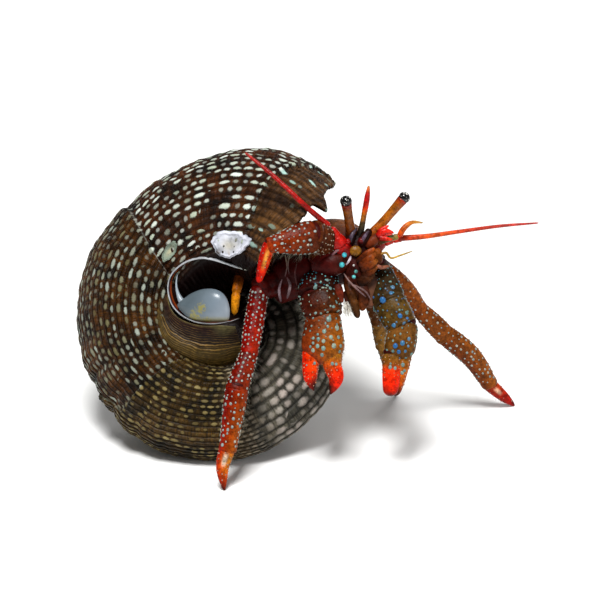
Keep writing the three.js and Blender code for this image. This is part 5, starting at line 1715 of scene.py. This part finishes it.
# Limb and plate | from and to round it, degrees | from and to along it | count, length in mm | colours.
HAIRS = """
leg2_right carpus | -40 40 | 0.2 0.98 | 27 0.77 | pale
leg2_right propodus | -35 45 | 0.1 0.98 | 54 0.81 | pale
leg2_right dactyl | -40 40 | 0.05 0.4 | 18 0.51 | pale
leg2_right merus | 150 215 | 0.1 0.95 | 30 0.51 | dark
leg2_left propodus | 130 230 | 0.1 0.98 | 30 0.42 | dark
leg2_left dactyl | 130 230 | 0.05 0.6 | 18 0.34 | dark
leg2_left carpus | 130 230 | 0.1 0.98 | 18 0.42 | dark
leg2_left merus | 130 230 | 0.1 0.98 | 30 0.42 | dark
leg3_right propodus | -40 50 | 0.05 0.9 | 66 0.94 | pale
leg3_right carpus | -40 50 | 0.1 0.9 | 36 0.68 | gold
leg3_right dactyl | -60 60 | 0.05 0.7 | 24 0.42 | gold
leg3_left propodus | 130 230 | 0.1 0.98 | 24 0.42 | pale
leg3_left merus | 130 230 | 0.1 0.98 | 24 0.42 | dark
claw_right carpus | 140 230 | 0.1 0.95 | 66 0.68 | pale
claw_right hand | 140 230 | 0.02 0.5 | 48 0.59 | pale
claw_right hand | -60 30 | 0.62 0.95 | 36 0.42 | horn
claw_right finger | 140 230 | 0.15 0.9 | 30 0.42 | horn
claw_right merus | 150 230 | 0.2 0.95 | 36 0.51 | dark
claw_left carpus | 140 230 | 0.1 0.95 | 36 0.59 | pale
claw_left hand | 140 230 | 0.05 0.6 | 36 0.42 | pale
claw_left finger | -60 40 | 0.15 0.9 | 30 0.34 | horn
claw_left merus | -40 40 | 0.2 0.95 | 30 0.42 | dark
"""
strips = {}
for name, *strip in table(HAIRS):
    limb, part = name.split()
    strips.setdefault(limb, []).append((plates[f"{limb}_{part}"], *strip))
for limb, rows in strips.items():
    forms = []
    for number, (plate, turns, span, sizes, colours) in enumerate(rows):
        count, length = numbers(sizes)
        forms.append(edge_hairs(plate, number, len(rows), numbers(turns), numbers(span), int(count), length,
                                HAIR_COLOURS[colours]))
    make_piece(limb + "_hairs", forms, STRAW, limb_slot(limb), uv_name="OFBake")

# %% The white brush below the jaws
draw = np.random.default_rng(21)
COUNT = 90
across, rise = draw.uniform(3.6, 4.3, COUNT), draw.uniform(-0.9, -0.1, COUNT)
roots = leaning(np.stack([across, rise, np.full(COUNT, 2.45)], -1))
ways = unit(0.35 * ACROSS - SLOPE + 0.25 * OUT + draw.normal(0, 0.2, (COUNT, 3)))
tint = palette("f4f0e4 d8d0c0 fffaf0")[draw.integers(0, 3, COUNT)] * 2
brush = hair_form(roots, ways, draw.normal(0, 0.1, (COUNT, 3)), draw.uniform(0.5, 1.1, COUNT), 0.022, tint,
                  draw.uniform(0, 0.99, (COUNT, 2)))
make_piece("jaw_brush_hairs", [brush], STRAW, "body_plate", uv_name="OFBake")

# %% [markdown]
# ## Floor, light and camera
#
# The specimen lies on pale paper under a large soft light from above, with a weaker one opposite so
# that the dark shell still shows its form. The camera has a long lens, which keeps the near claws
# from looking larger than they are.

# %% Floor
PAPER = new_finish("paper_matt_white", f"""
    place = TexCoord
    fibre = TexNoise Vector=place.Object Scale={per(8.0)} Detail=3
    white = ValToRGB fibre stops=0.3:f0f0ee,0.7:f4f4f3
    shader = Principled Base_Color=white""", Roughness=0.9)
FLOOR_HALF = 1.5  # metres
floor_mesh = bpy.data.meshes.new("floor")
corners = [(x * FLOOR_HALF, y * FLOOR_HALF, 0) for x, y in ((-1, -1), (1, -1), (1, 1), (-1, 1))]
floor_mesh.from_pydata(corners, [], [(0, 1, 2, 3)])
floor_mesh.materials.append(PAPER)
floor = bpy.data.objects.new("floor", floor_mesh)
bpy.context.scene.collection.objects.link(floor)

# %% Light
world = bpy.data.worlds.new("studio")
bpy.context.scene.world = world
world.use_nodes = True
world.node_tree.nodes["Background"].inputs["Color"].default_value = (1, 1, 1, 1)
world.node_tree.nodes["Background"].inputs["Strength"].default_value = 0.2
bpy.context.scene.view_settings.view_transform = "Standard"


def soft_box(name, place, size, watts):
    """A square area light of the given side and power, turned to the middle of the model."""
    lamp = bpy.data.lights.new(name, "AREA")
    lamp.size, lamp.energy = size, watts
    box = bpy.data.objects.new(name, lamp)
    box.location = place
    towards = Vector((0, 0, 0.012)) - Vector(place)
    box.rotation_euler = towards.to_track_quat("-Z", "Y").to_euler()
    bpy.context.scene.collection.objects.link(box)


soft_box("key", (-0.04, -0.14, 0.4), 0.12, 2.4)
soft_box("fill", (0.3, -0.25, 0.2), 0.2, 0.31)
soft_box("rim", (0.1, 0.3, 0.3), 0.2, 0.38)

# %% Camera
MM_PER_PIXEL = 0.085
FOCAL_PIXELS = 3500
ELEVATION = math.radians(25)
SENSOR_MM, FRAME_PIXELS = 36, 600
lens = bpy.data.cameras.new("camera")
lens.sensor_width = SENSOR_MM
lens.lens = FOCAL_PIXELS / FRAME_PIXELS * SENSOR_MM
lens.clip_start = 0.01
camera = bpy.data.objects.new("camera", lens)
target = to_metres([0, 0, 13.7])
distance = MM_PER_PIXEL * FOCAL_PIXELS * MM
camera.location = target + distance * np.array([0, -math.cos(ELEVATION), math.sin(ELEVATION)])
camera.rotation_euler = (math.pi / 2 - ELEVATION, 0, 0)
bpy.context.scene.collection.objects.link(camera)
bpy.context.scene.camera = camera
